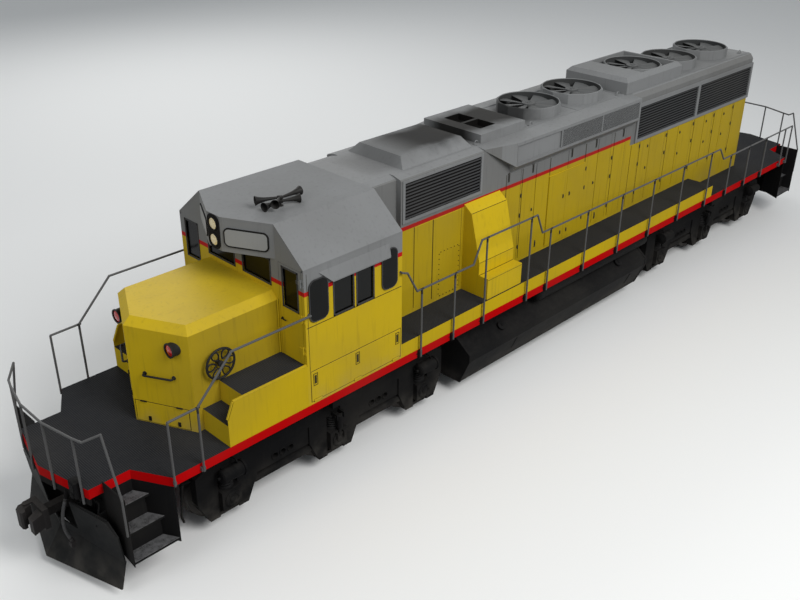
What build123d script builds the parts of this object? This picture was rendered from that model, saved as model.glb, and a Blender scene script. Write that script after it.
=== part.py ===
"""A six-axle diesel road locomotive at full size, as separate pieces in one frame.

Lengths are millimetres. +X points to the nose, +Y to the left side and +Z up. The origin is
midway between the couplers, on the centreline, at the level of the flange tips.
Each piece is written to parts/ under its own name.
"""
import os
from math import cos, pi, radians, sin, tan

from build123d import *

# ---------------------------------------------------------------- driving sizes
# Overall
COUPLER_SPAN = 20980      # over the coupler faces
DECK_HALF = 1497          # half width over the side sills
DECK_TOP = 1660           # platforms, above the flange tips
SILL_DEPTH = 150          # the red side sill
RUNNING_FIT = 0.3         # between a turning piece and its seat
SWING_GAP = 6             # between a moving piece and what it passes
PLATE = 12                # thick sheet of steps, pilots and brackets
SHEET = 8                 # thin sheet of hoods and walkways

# Ends of the deck, each set back from the one before
COUPLER_FACE_X = COUPLER_SPAN / 2
DRAFT_ROOM = 369          # coupler face ahead of the deck's ridge
DECK_RAKE = 214           # ridge ahead of the platform's outer corners
STEP_WELL_LENGTH = 614
STEP_WELL_DEPTH = 550
SHOULDER_LENGTH = 308     # side sill stops this far behind a step well
END_SHEET_SETBACK = 217
TRUCK_SETBACK = 3463      # truck centres behind the step wells
DECK_TIP_X = COUPLER_FACE_X - DRAFT_ROOM
DECK_CORNER_X = DECK_TIP_X - DECK_RAKE
DECK_CORNER_Y = DECK_HALF - STEP_WELL_DEPTH
STEP_WELL_X = DECK_CORNER_X - STEP_WELL_LENGTH
DECK_SHOULDER_X = STEP_WELL_X - SHOULDER_LENGTH
END_SHEET_X = DECK_CORNER_X - END_SHEET_SETBACK   # pilot sheet behind the plow
TRUCK_X = STEP_WELL_X - TRUCK_SETBACK

# Wheelsets
TREAD_RADIUS = 508
FLANGE_HEIGHT = 25.4
WHEEL_BACK_Y = 680        # back face of a wheel from the centreline
WHEEL_WIDTH = 140
FLANGE_WIDTH = 32
RIM_DEPTH = 75
WEB_THICKNESS = 30
HUB_RADIUS = 150
AXLE_RADIUS = 90
JOURNAL_RADIUS = 80
JOURNAL_START_Y = 900
JOURNAL_END_Y = 1150

# Trucks, measured from the truck centre, outward positive
AXLE_OFFSETS = {"outer": 2090, "middle": 0, "inner": -1975}
FRAME_Y = 1000            # inside face of a side frame
FRAME_THICKNESS = 140
FRAME_TOP = 1180
WEB_INSET = 25            # web and ties back from the faces of the frame
BEAM_DEPTH = 210
PEDESTAL_HALF = 170       # half of the jaw that holds an axle box
PEDESTAL_FOOT = 345       # half width of a pedestal at its foot
PEDESTAL_ROOT = 530       # half width where it leaves the web
PEDESTAL_BOTTOM = 235
PEDESTAL_TIE = 55         # depth of the tie under an axle box
WEB_BOTTOM = 640          # web between the pedestals
WEB_HOLE_RADIUS = 52
WEB_HOLE_PITCH = 150
WEB_HOLE_Z = 772
LOWER_BAR_Z = (480, 590)  # bar between the pedestals below the web
BOX_INNER_Y = 960
BOX_COVER = 80            # end cover beyond the journal
BOX_BELOW = 150           # axle box below and above the axle
BOX_ABOVE = 170
SPRING_RADIUS = 95
TRANSOM_Z = (760, 1080)
TRANSOMS_X = ((850, 1150), (-1100, -700))
BOLSTER_TOP = 1100
BOLSTER_HALF_Y = 480
BOLSTER_DEPTH = 200
CENTRE_PLATE_RADIUS = 300
BRAKE_CYLINDER_RADIUS = 105
BRAKE_CYLINDER_LENGTH = 360
BRAKE_CYLINDER_Z = 1045
BRAKE_CYLINDER_GAP = 40   # from the frame's face, past the springs
BRAKE_BRACKET = (200, 90)  # length and height of the block that holds a cylinder
MOTOR_GAP_X = 150         # motor case from the axle's centre
MOTOR_LENGTH = 700
MOTOR_HALF_Y = 540
MOTOR_Z = (270, 850)
MOTOR_BEARING_Y = 440
MOTOR_SIDES = {"outer": -1, "middle": 1, "inner": 1}

# Underframe
CENTRE_SILL_Y = (200, 420)
CENTRE_SILL_BOTTOM = 1200
BOLSTER_BEAM_HALF_X = 250
BOLSTER_BEAM_BOTTOM = 1300
BOLSTER_BEAM_INSET = 97
BOLSTER_BEAM_Y = DECK_HALF - BOLSTER_BEAM_INSET
JACK_PAD = (200, 180, 60)  # length, width, depth of a jacking pad
DRAFT_POCKET = 390        # depth of a coupler's pocket behind the end sheet
CENTRE_SILL_END = END_SHEET_X - DRAFT_POCKET
END_SHEET_BOTTOM = 360
END_LIP_BOTTOM = 1400     # skirt under the platform's front edge

# Couplers
COUPLER_Z = 901
PIVOT_SETBACK = 170
COUPLER_PIVOT_X = END_SHEET_X - PIVOT_SETBACK
SHANK_HALF = 65
PIVOT_RADIUS = 45
POCKET_HALF_Y = 230
POCKET_START_X = END_SHEET_X - DRAFT_POCKET
POCKET_WALL = 40
POCKET_LIP = 20           # opening of the end sheet above and below the shank
HEAD_LENGTH = 310         # set back from the coupler face, as the next four are
HEAD_DEPTH = 225
KNUCKLE_DEPTH = 190
KNUCKLE_PIN_DEPTH = 145
GUARD_ARM_DEPTH = 50
HEAD_START_X = COUPLER_FACE_X - HEAD_LENGTH
HEAD_BACK_X = COUPLER_FACE_X - HEAD_DEPTH
HEAD_HALF_Y = 190
HEAD_HALF_Z = 120
KNUCKLE_HALF_Z = 140
KNUCKLE_X = COUPLER_FACE_X - KNUCKLE_DEPTH
KNUCKLE_Y = (-190, -10)
KNUCKLE_PIN = (COUPLER_FACE_X - KNUCKLE_PIN_DEPTH, -140)
KNUCKLE_PIN_RADIUS = 21
KNUCKLE_LUG = 24
GUARD_ARM_Y = (90, 190)
GUARD_ARM_X = COUPLER_FACE_X - GUARD_ARM_DEPTH

# Snow plow: top, crease and bottom edges as (reach at the centre, reach at the outer end, z)
PLOW_EDGES = ((370, 125, 1200), (295, 60, 560), (580, 170, 150))
PLOW_TOP, PLOW_CREASE, PLOW_BOTTOM = [
    (END_SHEET_X + middle, END_SHEET_X + outer, z) for middle, outer, z in PLOW_EDGES
]
PLOW_REACH = 600          # space cleared ahead of the blade when its ribs are cut
PLOW_INSET = 167
PLOW_HALF_Y = DECK_HALF - PLOW_INSET
PLOW_SHEET = 20
PLOW_CORNER = 190
PLOW_NOTCH = (430, 700)   # half width and bottom of the coupler's notch
PLOW_RIBS_Y = (500, 900)

# Steps
TREAD_LEVELS = (635, 977, 1318)
TREAD_INSETS = (0, 167, 334)
TREAD_OUTER_Y = [DECK_HALF - inset for inset in TREAD_INSETS]
TREAD_DEPTH = 230
TREAD_SHEET = 35
TREAD_RISER = 160
STEP_PLATE_BOTTOM = 560
STEP_PLATE_HEEL = 660     # inner bottom corner of the outer plate
STEP_PLATE_TOP = 1690

# Fuel tank and air reservoirs
TANK_TO_TRUCK = (3030, 2880)   # rear and front end from the nearest truck centre
TANK_X = (TANK_TO_TRUCK[0] - TRUCK_X, TRUCK_X - TANK_TO_TRUCK[1])
TANK_PROFILE = ((1250, 290), (1465, 790), (1465, 930), (1130, 1180))
TANK_HANGER_INSET = (500, 450)
TANK_HANGERS_X = (TANK_X[0] + TANK_HANGER_INSET[0], -600, 1000, TANK_X[1] - TANK_HANGER_INSET[1])
TANK_HANGER = 60
RESERVOIR_RADIUS = 150
RESERVOIR_INSET = 222
RESERVOIR_DROP = 165      # axis below the side sill
RESERVOIR_OVERHANG = 50   # beyond the tank's rear end
RESERVOIR_Y = DECK_HALF - RESERVOIR_INSET
RESERVOIR_Z = DECK_TOP - SILL_DEPTH - RESERVOIR_DROP
RESERVOIR_X = (TANK_X[0] - RESERVOIR_OVERHANG, 950)
RESERVOIR_DOME = 90
RESERVOIR_STRAP_INSET = 450
RESERVOIR_STRAPS_X = (
    RESERVOIR_X[0] + RESERVOIR_STRAP_INSET, sum(RESERVOIR_X) / 2, RESERVOIR_X[1] - RESERVOIR_STRAP_INSET,
)

# Walkways and the boxes beside the nose
WALKWAY_RISE = 252
WALKWAY_TOP = DECK_TOP + WALKWAY_RISE
WALKWAY_REAR_X = -5275
SIDE_BOX_TOP = 2345
SIDE_BOX_X = 7730
SIDE_STEP_X = 8045
SIDE_STEP_TOP = 2010
SIDE_GUARD_TOP_X = 7935

# Nose
NOSE_INSET = 606
NOSE_HALF_Y = DECK_HALF - NOSE_INSET
NOSE_CORNER_X = 8160
NOSE_APEX_X = 8606
NOSE_BEVEL_Z = 3221
NOSE_TOP_Z = 3336
NOSE_BEVEL = 120

# Cab
CAB_REAR_X = 4687
CAB_FRONT_X = 6622
CAB_PROW_X = 6998
CAB_PROW_HALF_Y = 158
CAB_EAVE_Z = 3850         # walls' top at the side; the roof sheet lies above
CAB_ROOF_Z = 4356
CAB_ROOF_INSET = 608
CAB_ROOF_HALF_Y = DECK_HALF - CAB_ROOF_INSET
CAB_WALL = 50
CAB_ROOF_SHEET = 40
CAB_FLOOR = 60
SIDE_WINDOWS_X = ((5285, 5630), (5690, 6080))
SIDE_WINDOWS_Z = (2990, 3600)
WINDSHIELD_Y = (100, 760)
WINDSHIELD_Z = (3415, 3815)
LAMP_HOUSING_Z = 3865     # underside of the prow-shaped housing above the windshields
GLASS = 10
DOOR_WIDTH = 500
DOOR_REACH = 552          # inner edge of the cab doors from the side sill
DOOR_INSET_Y = DECK_HALF - DOOR_REACH
DOOR_TOP = 3850
DOOR_WINDOW_Z = (3180, 3800)
DOOR_WINDOW_MARGIN = 75
DOOR_LEAF = 40
HINGE_RADIUS = 12
HINGE_PIN = 6
HINGE_LENGTH = 60
HINGE_LUG = 30
HINGE_STRAP = (100, 8)    # reach over the leaf and thickness
DOOR_HINGES_Z = (2560, 3080, 3640)
REAR_WINDOW_INSETS = (537, 117)
REAR_WINDOW_Y = [DECK_HALF - inset for inset in REAR_WINDOW_INSETS]
REAR_WINDOW_Z = (3000, 3560)

# Hoods
HOOD_INSET = 626
HOOD_HALF_Y = DECK_HALF - HOOD_INSET
HOOD_TOP = CAB_ROOF_Z + CAB_ROOF_SHEET
HOOD_BEVEL = ((0, 60), (20, 40), (171, 0))      # in from the side, down from the top
RADIATOR_BEVEL = ((0, 106), (71, 16), (111, 0))
HOOD_SHOULDER = [(HOOD_HALF_Y - inset, HOOD_TOP - drop) for inset, drop in HOOD_BEVEL]
RADIATOR_SHOULDER = [(HOOD_HALF_Y - inset, HOOD_TOP - drop) for inset, drop in RADIATOR_BEVEL]
HOOD_NECK_INSET = 100     # the narrow part behind the cab
HOOD_NECK_HALF_Y = HOOD_HALF_Y - HOOD_NECK_INSET
HOOD_NECK_X = 4090
FILTER_REAR_X = 2088
BRAKE_REAR_X = -2550
HOOD_REAR_X = -7530
FLARE_FRONT_X = 1380
FLARE_REACH = 149
FLARE_HALF_Y = HOOD_HALF_Y + FLARE_REACH
FLARE_BOTTOM_Z = 3780
FLARE_KNEE_Z = 3925
LOUVRE_X = (2172, 4000)
LOUVRE_Z = (3655, 4282)
FLARE_GRILLES_X = ((-2480, -1230), (-1190, 60), (100, 1350))
FLARE_GRILLE_Z = (3975, 4300)
RADIATOR_GRILLES_X = ((-5080, -2690), (-7480, -5130))
RADIATOR_GRILLE_Z = (3370, 4180)
GRILLE_DEPTH = 25
GRILLE_LAP = 12
HOOD_DOOR_WIDTH = 560
HOOD_DOOR_THICKNESS = 20
HOOD_DOOR_Z = (1972, 3390)
HOOD_DOOR_LAP = 30        # how far a leaf covers the hood round its opening
HOOD_DOOR_PAIR_X = -400   # where the two leaves of a pair meet

# Blower duct on the left
DUCT_X = (1620, 2555)
DUCT_EDGES = ((0, 3520), (171, 3391), (391, 2543))   # out from the hood's side, and level
DUCT_PROFILE = [(HOOD_HALF_Y + reach, z) for reach, z in DUCT_EDGES]
DUCT_BOX_INSET = 27
DUCT_BOX_Y = DECK_HALF - DUCT_BOX_INSET
DUCT_BOX_TOP = 2310

# Roof
FILTER_HATCH = (((2160, 3820), 640), ((2270, 3710), 480))  # x range and half width, low and high
FILTER_HATCH_HEIGHT = 170
EXHAUST_HATCH_X = (760, 1960)
EXHAUST_HATCH_HALF = 670
EXHAUST_HATCH_HEIGHT = 160
EXHAUST_STACKS_X = (1300, 1700)
EXHAUST_STACKS_HALF = 430
EXHAUST_STACKS_BAR = 60
EXHAUST_STACK_DEPTH = 120
FAN_RADIUS = 560
FAN_WALL = 35
FAN_GAP = 15
FAN_RIM_HEIGHT = 190
FAN_BLADES = 8
FAN_CHORD = 200
FAN_PITCH = 32
FAN_HUB_RADIUS = 130
FAN_HUB_HEIGHT = 80
FAN_POST = 45             # motor post below the hub
FAN_SPINDLE_RADIUS = 30
FAN_POST_RADIUS = 110
FAN_ARM = 40
FAN_BLADE_SHEET = 8
BRAKE_FANS_X = (-190, -1562)
RADIATOR_FANS_X = (-3720, -5187, -6567)
FAN_HATCH_X = (-4480, -2400)
FAN_HATCH_HALF = 740
FAN_HATCH_SIDE_HEIGHT = 234
FAN_HATCH_BEVEL = 80
FAN_HATCH_LIFT = 90       # floor of the hatch's well above the hood
FAN_WELL_HALF = 625

# Rails and posts
RAIL_STANDOFF = 50
RAIL_Y = DECK_HALF + RAIL_STANDOFF
RAIL = 34
BEND_SWELL = 1            # weld bead round a corner
POST_FOOT_DROP = 115
POST_FOOT_Z = DECK_TOP - POST_FOOT_DROP
POST_FOOT = 60
RAIL_Z = 2785
RAIL_HIGH_Z = 3175
RAIL_REAR_Z = 2503
LAST_POSTS_SETBACK = (410, 55)   # from the deck's shoulder
LAST_POSTS_X = [setback - DECK_SHOULDER_X for setback in LAST_POSTS_SETBACK]
LEFT_RAIL = (
    (4727, 3218), (4615, 3172), (4395, RAIL_Z), (3050, RAIL_Z), (2858, RAIL_HIGH_Z),
    (1363, RAIL_HIGH_Z), (1182, RAIL_Z), (-5248, RAIL_Z), (-5475, RAIL_REAR_Z),
    (LAST_POSTS_X[1], RAIL_REAR_Z),
)
POSTS_LOW_X = (4285, 3497, 922, -236, -1403, -2561, -3727, -4893)
POSTS_HIGH_X = (2718, 1522)
POSTS_REAR_X = (-5846, -6736, -7583, *LAST_POSTS_X)
FRONT_RAIL_Z = 3183
FRONT_RAIL_KNEE = 461     # behind the deck's shoulder
FRONT_RAIL = (
    (CAB_FRONT_X, FRONT_RAIL_Z), (7923, FRONT_RAIL_Z),
    (DECK_SHOULDER_X - FRONT_RAIL_KNEE, 2580), (DECK_SHOULDER_X, 2570),
)
STEP_POST_FOOT_Z = 1100
END_RAIL_REACH = 243      # over the steps
END_RAIL_INSETS = (7, 63)
END_RAIL_TOP = (DECK_CORNER_Y + END_RAIL_REACH, 2575)
END_RAIL_CORNER = (DECK_CORNER_X - END_RAIL_INSETS[0], DECK_CORNER_Y + END_RAIL_INSETS[1], 2455)
END_POSTS = ((850, 2455), (300, 2480))  # distance from the centreline and top

# Hand brake, hose and horn
HORN_PLACE = (6120, 430)
HORN_STAND_RADIUS = 45
HORN_STAND_HEIGHT = 160
HORN_THROAT_RADIUS = 22
HORN_BELL_RADIUS = 48
HORN_BELLS = (            # direction in degrees, reach, level above the roof
    (-22, 371, 130), (8, 330, 80), (37, 282, 130), (184, 395, 120), (160, 300, 70),
)
BRAKE_WHEEL_CENTRE = (7735, 2660)
BRAKE_WHEEL_RADIUS = 250
BRAKE_WHEEL_RIM = 28
BRAKE_WHEEL_STANDOFF = 70
HOSE_RADIUS = 24
HOSE_POINTS = (           # x from the deck's ridge, y and z
    (-86, 500, 1345), (-33, 500, 1220), (5, 500, 1078), (15, 500, 930), (-3, 500, 784), (-49, 500, 650),
)
HOSE_ROUTE = tuple((DECK_TIP_X + x, y, z) for x, y, z in HOSE_POINTS)

# Interior
SEATS = ((5900, -1000), (5900, 1000), (5150, 1000))
SEAT_HEIGHT = 420
SEAT_WIDTH = 450
SEAT_CUSHION = 100
SEAT_BACK = 50
SEAT_BACK_TOP = 1050
SEAT_POST_RADIUS = 60
STAND_X = (5950, 6450)
STAND_Y = (-640, -250)
ENGINE_X = (-2300, 1900)
ENGINE_HALF_Y = 520
ENGINE_TOP = 3500


# ---------------------------------------------------------------- shape helpers
def block(x, y, z):
    """Box between the low and high values given for each axis."""
    size = [high - low for low, high in (x, y, z)]
    middle = [(low + high) / 2 for low, high in (x, y, z)]
    return Pos(*middle) * Box(*size)


def prism(axis, outline, start, end):
    """Solid whose outline is drawn across the named axis, from start to end along it."""
    place = {
        "x": lambda a, b: (start, a, b),
        "y": lambda a, b: (a, start, b),
        "z": lambda a, b: (a, b, start),
    }[axis]
    direction = {"x": (1, 0, 0), "y": (0, 1, 0), "z": (0, 0, 1)}[axis]
    face = make_face(Polyline([place(a, b) for a, b in outline], close=True))
    return extrude(face, amount=end - start, dir=direction)


def rod(start, end, radius):
    """Round bar between two points."""
    run = Vector(*end) - Vector(*start)
    plane = Plane(origin=start, z_dir=run)
    return extrude(plane * Circle(radius), amount=run.length)


def disc(axis, centre, radius, length):
    """Cylinder that starts at a centre point and runs along the named axis."""
    step = {"x": (length, 0, 0), "y": (0, length, 0), "z": (0, 0, length)}[axis]
    return rod(centre, tuple(c + s for c, s in zip(centre, step)), abs(radius))


def joined(shapes):
    """One shape from a list, fused where they touch."""
    shapes = list(shapes)
    total = shapes[0]
    for shape in shapes[1:]:
        total = total + shape
    return total


def pipe(points, radius):
    """Straight tubes through the points, with a welded ball at each corner."""
    runs = [rod(a, b, radius) for a, b in zip(points, points[1:])]
    balls = [Pos(*p) * Sphere(radius + BEND_SWELL) for p in points[1:-1]]
    return joined(runs + balls)


def other_side(shape):
    """The same shape on the right."""
    return mirror(shape, about=Plane.XZ)


def other_end(shape):
    """The same shape at the rear."""
    return mirror(shape, about=Plane.YZ)


def pair(shape):
    """Left and right copies together."""
    return shape + other_side(shape)


# ---------------------------------------------------------------- running gear
AXLE_Z = TREAD_RADIUS + FLANGE_HEIGHT


def axle_x(name):
    """Place of one of the front truck's axles."""
    return TRUCK_X + AXLE_OFFSETS[name]


def wheelset(name):
    """Axle with its two wheels, turned as one outline about the axle's centre."""
    back = WHEEL_BACK_Y
    face = back + WHEEL_WIDTH
    web = (back + face) / 2
    rim = TREAD_RADIUS - RIM_DEPTH
    half = [
        (0, AXLE_RADIUS), (back - 30, AXLE_RADIUS), (back - 30, HUB_RADIUS),
        (web - WEB_THICKNESS / 2, HUB_RADIUS + 30), (web - WEB_THICKNESS / 2, rim - 20),
        (back, rim), (back, TREAD_RADIUS + FLANGE_HEIGHT - 8),
        (back + 8, TREAD_RADIUS + FLANGE_HEIGHT), (back + FLANGE_WIDTH / 2 + 2, TREAD_RADIUS + FLANGE_HEIGHT),
        (back + FLANGE_WIDTH, TREAD_RADIUS), (face, TREAD_RADIUS - 3), (face, rim),
        (web + WEB_THICKNESS / 2, rim - 20), (web + WEB_THICKNESS / 2, HUB_RADIUS + 30),
        (face + 10, HUB_RADIUS), (face + 10, AXLE_RADIUS), (JOURNAL_START_Y, AXLE_RADIUS),
        (JOURNAL_START_Y, JOURNAL_RADIUS), (JOURNAL_END_Y, JOURNAL_RADIUS),
    ]
    outline = [(-y, r) for y, r in reversed(half)] + half[1:]
    outline = [(-JOURNAL_END_Y, 0)] + outline + [(JOURNAL_END_Y, 0)]
    x = axle_x(name)
    section = make_face(Polyline([(x, y, AXLE_Z + r) for y, r in outline], close=True))
    return revolve(section, axis=Axis((x, 0, AXLE_Z), (0, 1, 0)))


def brake_cylinder(x, face_y):
    """Cylinder that lies over an axle box, and the block that holds it to the frame."""
    y = face_y + BRAKE_CYLINDER_GAP + BRAKE_CYLINDER_RADIUS
    length, height = BRAKE_BRACKET
    body = disc("x", (x - BRAKE_CYLINDER_LENGTH / 2, y, BRAKE_CYLINDER_Z), BRAKE_CYLINDER_RADIUS,
                BRAKE_CYLINDER_LENGTH)
    bracket = block((x - length / 2, x + length / 2), (face_y - 1, y),
                    (BRAKE_CYLINDER_Z - height / 2, BRAKE_CYLINDER_Z + height / 2))
    return [body, bracket]


def side_frame():
    """Cast side frame of the front truck on the left, with its jaws, web and brake cylinders."""
    y0, y1 = FRAME_Y, FRAME_Y + FRAME_THICKNESS
    front = axle_x("outer") + PEDESTAL_ROOT
    rear = axle_x("inner") - PEDESTAL_ROOT
    beam_bottom = FRAME_TOP - BEAM_DEPTH
    beam = prism("y", [
        (rear, beam_bottom), (front, beam_bottom), (front, FRAME_TOP - 80),
        (front - 160, FRAME_TOP), (rear + 160, FRAME_TOP), (rear, FRAME_TOP - 80),
    ], y0, y1)
    pieces = [beam]
    for name in AXLE_OFFSETS:
        x = axle_x(name)
        for side in (-1, 1):
            pieces.append(prism("y", [
                (x + side * PEDESTAL_HALF, PEDESTAL_BOTTOM), (x + side * PEDESTAL_FOOT, PEDESTAL_BOTTOM),
                (x + side * PEDESTAL_ROOT, WEB_BOTTOM), (x + side * PEDESTAL_ROOT, beam_bottom),
                (x + side * PEDESTAL_HALF, beam_bottom),
            ], y0, y1))
        tie = (PEDESTAL_BOTTOM, PEDESTAL_BOTTOM + PEDESTAL_TIE)
        pieces.append(block((x - PEDESTAL_HALF, x + PEDESTAL_HALF), (y0 + WEB_INSET, y1 - WEB_INSET), tie))
    for ahead, behind in (("outer", "middle"), ("middle", "inner")):
        x0, x1 = axle_x(behind) + PEDESTAL_ROOT, axle_x(ahead) - PEDESTAL_ROOT
        middle = (x0 + x1) / 2
        web = block((x0, x1), (y0 + WEB_INSET, y1 - WEB_INSET), (WEB_BOTTOM, beam_bottom))
        for count in (-1, 0, 1):
            centre = (middle + count * WEB_HOLE_PITCH, y0, WEB_HOLE_Z)
            web -= disc("y", centre, WEB_HOLE_RADIUS, FRAME_THICKNESS)
        reach = PEDESTAL_ROOT - PEDESTAL_FOOT
        bar = block((x0 - reach / 2, x1 + reach / 2), (y0 + WEB_INSET, y1 - WEB_INSET), LOWER_BAR_Z)
        pieces += [web, bar]
    for name in ("outer", "inner"):
        pieces += brake_cylinder(axle_x(name), y1)
    return joined(pieces)


def truck_frame():
    """Front truck's casting: two side frames, two transoms and the bolster with its bowl."""
    pieces = [side_frame(), other_side(side_frame())]
    for x0, x1 in TRANSOMS_X:
        pieces.append(block((TRUCK_X + x0, TRUCK_X + x1), (-FRAME_Y, FRAME_Y), TRANSOM_Z))
    length = (TRUCK_X + TRANSOMS_X[1][0], TRUCK_X + TRANSOMS_X[0][1])
    depth = (BOLSTER_TOP - BOLSTER_DEPTH, BOLSTER_TOP)
    pieces.append(block(length, (-BOLSTER_HALF_Y, BOLSTER_HALF_Y), depth))
    bowl = disc("z", (TRUCK_X, 0, BOLSTER_TOP), CENTRE_PLATE_RADIUS + 50, 30)
    bowl -= disc("z", (TRUCK_X, 0, BOLSTER_TOP), CENTRE_PLATE_RADIUS + RUNNING_FIT, 30)
    return joined(pieces) + bowl


def axle_boxes():
    """The front truck's six axle boxes, each with the spring that carries the frame."""
    boxes = []
    for name in AXLE_OFFSETS:
        x = axle_x(name)
        end = JOURNAL_END_Y + RUNNING_FIT
        top = AXLE_Z + BOX_ABOVE
        box = block((x - PEDESTAL_HALF, x + PEDESTAL_HALF), (BOX_INNER_Y, end + BOX_COVER),
                    (AXLE_Z - BOX_BELOW, top))
        box -= disc("y", (x, BOX_INNER_Y, AXLE_Z), JOURNAL_RADIUS + RUNNING_FIT, end - BOX_INNER_Y)
        spring_y = FRAME_Y + FRAME_THICKNESS / 2
        spring = disc("z", (x, spring_y, top), SPRING_RADIUS, FRAME_TOP - BEAM_DEPTH - top)
        boxes += [box + spring, other_side(box + spring)]
    return Compound(boxes)


def traction_motors():
    """Three plain motor cases, each hung on its axle by two bearings."""
    motors = []
    for name, side in MOTOR_SIDES.items():
        x = axle_x(name)
        near, far = x + side * MOTOR_GAP_X, x + side * (MOTOR_GAP_X + MOTOR_LENGTH)
        case = block(sorted((near, far)), (-MOTOR_HALF_Y, MOTOR_HALF_Y), MOTOR_Z)
        bore = AXLE_RADIUS + RUNNING_FIT
        reach = sorted((x - side * (AXLE_RADIUS + 50), near))
        height = (AXLE_Z - AXLE_RADIUS - 50, AXLE_Z + AXLE_RADIUS + 50)
        arm = block(reach, (MOTOR_BEARING_Y, MOTOR_HALF_Y), height)
        arm -= disc("y", (x, MOTOR_BEARING_Y, AXLE_Z), bore, MOTOR_HALF_Y - MOTOR_BEARING_Y)
        link_x = sorted((far - side * 200, far - side * 80))
        link = block(link_x, (-100, 100), (MOTOR_Z[1], BOLSTER_TOP - BOLSTER_DEPTH))
        motors.append(joined([case, arm, other_side(arm), link]))
    return Compound(motors)


# ---------------------------------------------------------------- underframe
def platform_edge():
    """Left half of the platform's plan at the front end, from the side sill to the ridge."""
    return [
        (DECK_SHOULDER_X, DECK_HALF), (STEP_WELL_X, DECK_CORNER_Y),
        (DECK_CORNER_X, DECK_CORNER_Y), (DECK_TIP_X, 0),
    ]


def deck_outline():
    """Whole plan of the deck, with a step well cut from each corner."""
    quarter = platform_edge()
    front = quarter + [(x, -y) for x, y in reversed(quarter[:-1])]
    rear = [(-x, -y) for x, y in front]
    return front + rear


def end_lip():
    """Skirt under the front edge of the platform, as a bent plate."""
    corner = (DECK_CORNER_X, DECK_CORNER_Y)
    back = 25
    outline = [corner, (DECK_TIP_X, 0), (DECK_TIP_X - back, 0), (DECK_CORNER_X - back, DECK_CORNER_Y)]
    return pair(prism("z", outline, END_LIP_BOTTOM, DECK_TOP - SILL_DEPTH))


def draft_pocket():
    """Box that holds the front coupler's shank, with its pivot pin."""
    low, high = COUPLER_Z - SHANK_HALF, COUPLER_Z + SHANK_HALF
    x = (POCKET_START_X, END_SHEET_X)
    wall = POCKET_WALL
    side = block(x, (POCKET_HALF_Y, POCKET_HALF_Y + wall), (low - wall, CENTRE_SILL_BOTTOM))
    floor = block(x, (-POCKET_HALF_Y, POCKET_HALF_Y), (low - wall, low - RUNNING_FIT))
    roof = block(x, (-POCKET_HALF_Y, POCKET_HALF_Y), (high + RUNNING_FIT, CENTRE_SILL_BOTTOM))
    pin = disc("z", (COUPLER_PIVOT_X, 0, low - wall), PIVOT_RADIUS, high - low + wall + 1)
    back = block((POCKET_START_X - wall, POCKET_START_X), (-POCKET_HALF_Y - wall, POCKET_HALF_Y + wall),
                 (low - wall, CENTRE_SILL_BOTTOM))
    return joined([side, other_side(side), floor, roof, pin, back])


def end_sheet(half_y):
    """Upright sheet behind the coupler, open where the coupler passes."""
    top = DECK_TOP - SILL_DEPTH
    sheet = block((END_SHEET_X, END_SHEET_X + PLATE), (-half_y, half_y), (END_SHEET_BOTTOM, top))
    opening = block((END_SHEET_X, END_SHEET_X + PLATE), (-POCKET_HALF_Y, POCKET_HALF_Y),
                    (COUPLER_Z - SHANK_HALF - POCKET_LIP, COUPLER_Z + SHANK_HALF + POCKET_LIP))
    return sheet - opening


def main_frame():
    """Deck slab with its sills, centre sills, bolster beams, pilots and coupler pockets."""
    under = DECK_TOP - SILL_DEPTH
    slab = prism("z", deck_outline(), under, DECK_TOP)
    sill = block((-CENTRE_SILL_END, CENTRE_SILL_END), CENTRE_SILL_Y, (CENTRE_SILL_BOTTOM, under))
    tip = block((CENTRE_SILL_END, END_SHEET_X), (-CENTRE_SILL_Y[1], CENTRE_SILL_Y[1]),
                (CENTRE_SILL_BOTTOM, under))
    truck_seat = block((TRUCK_X - BOLSTER_BEAM_HALF_X, TRUCK_X + BOLSTER_BEAM_HALF_X),
                       (-CENTRE_SILL_Y[1], CENTRE_SILL_Y[1]), (CENTRE_SILL_BOTTOM, under))
    beam = block((TRUCK_X - BOLSTER_BEAM_HALF_X, TRUCK_X + BOLSTER_BEAM_HALF_X),
                 (-BOLSTER_BEAM_Y, BOLSTER_BEAM_Y), (BOLSTER_BEAM_BOTTOM, under))
    plate = disc("z", (TRUCK_X, 0, BOLSTER_TOP + RUNNING_FIT), CENTRE_PLATE_RADIUS,
                 CENTRE_SILL_BOTTOM - BOLSTER_TOP - RUNNING_FIT)
    length, width, depth = JACK_PAD
    pad = block((TRUCK_X - length / 2, TRUCK_X + length / 2), (BOLSTER_BEAM_Y - width, BOLSTER_BEAM_Y),
                (BOLSTER_BEAM_BOTTOM - depth, BOLSTER_BEAM_BOTTOM))
    end = joined([tip, truck_seat, beam, plate, pad, other_side(pad), draft_pocket(), end_lip(),
                  end_sheet(DECK_CORNER_Y - PLATE)])
    return joined([slab, sill, other_side(sill), end, other_end(end), hose_cock()])


def plow_section(y_share, ahead):
    """Blade's upright section at a share of its half width; ahead gives the space before it."""
    top, crease, bottom = [
        (near + (far - near) * y_share, z) for near, far, z in (PLOW_TOP, PLOW_CREASE, PLOW_BOTTOM)
    ]
    faces = [top, crease, bottom]
    back = [(x - PLOW_SHEET, z) for x, z in faces]
    front = [(x + PLOW_REACH, z) for x, z in reversed(faces)] if ahead else list(reversed(faces))
    y = y_share * PLOW_HALF_Y
    return make_face(Polyline([(x, y, z) for x, z in back + front], close=True))


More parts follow.
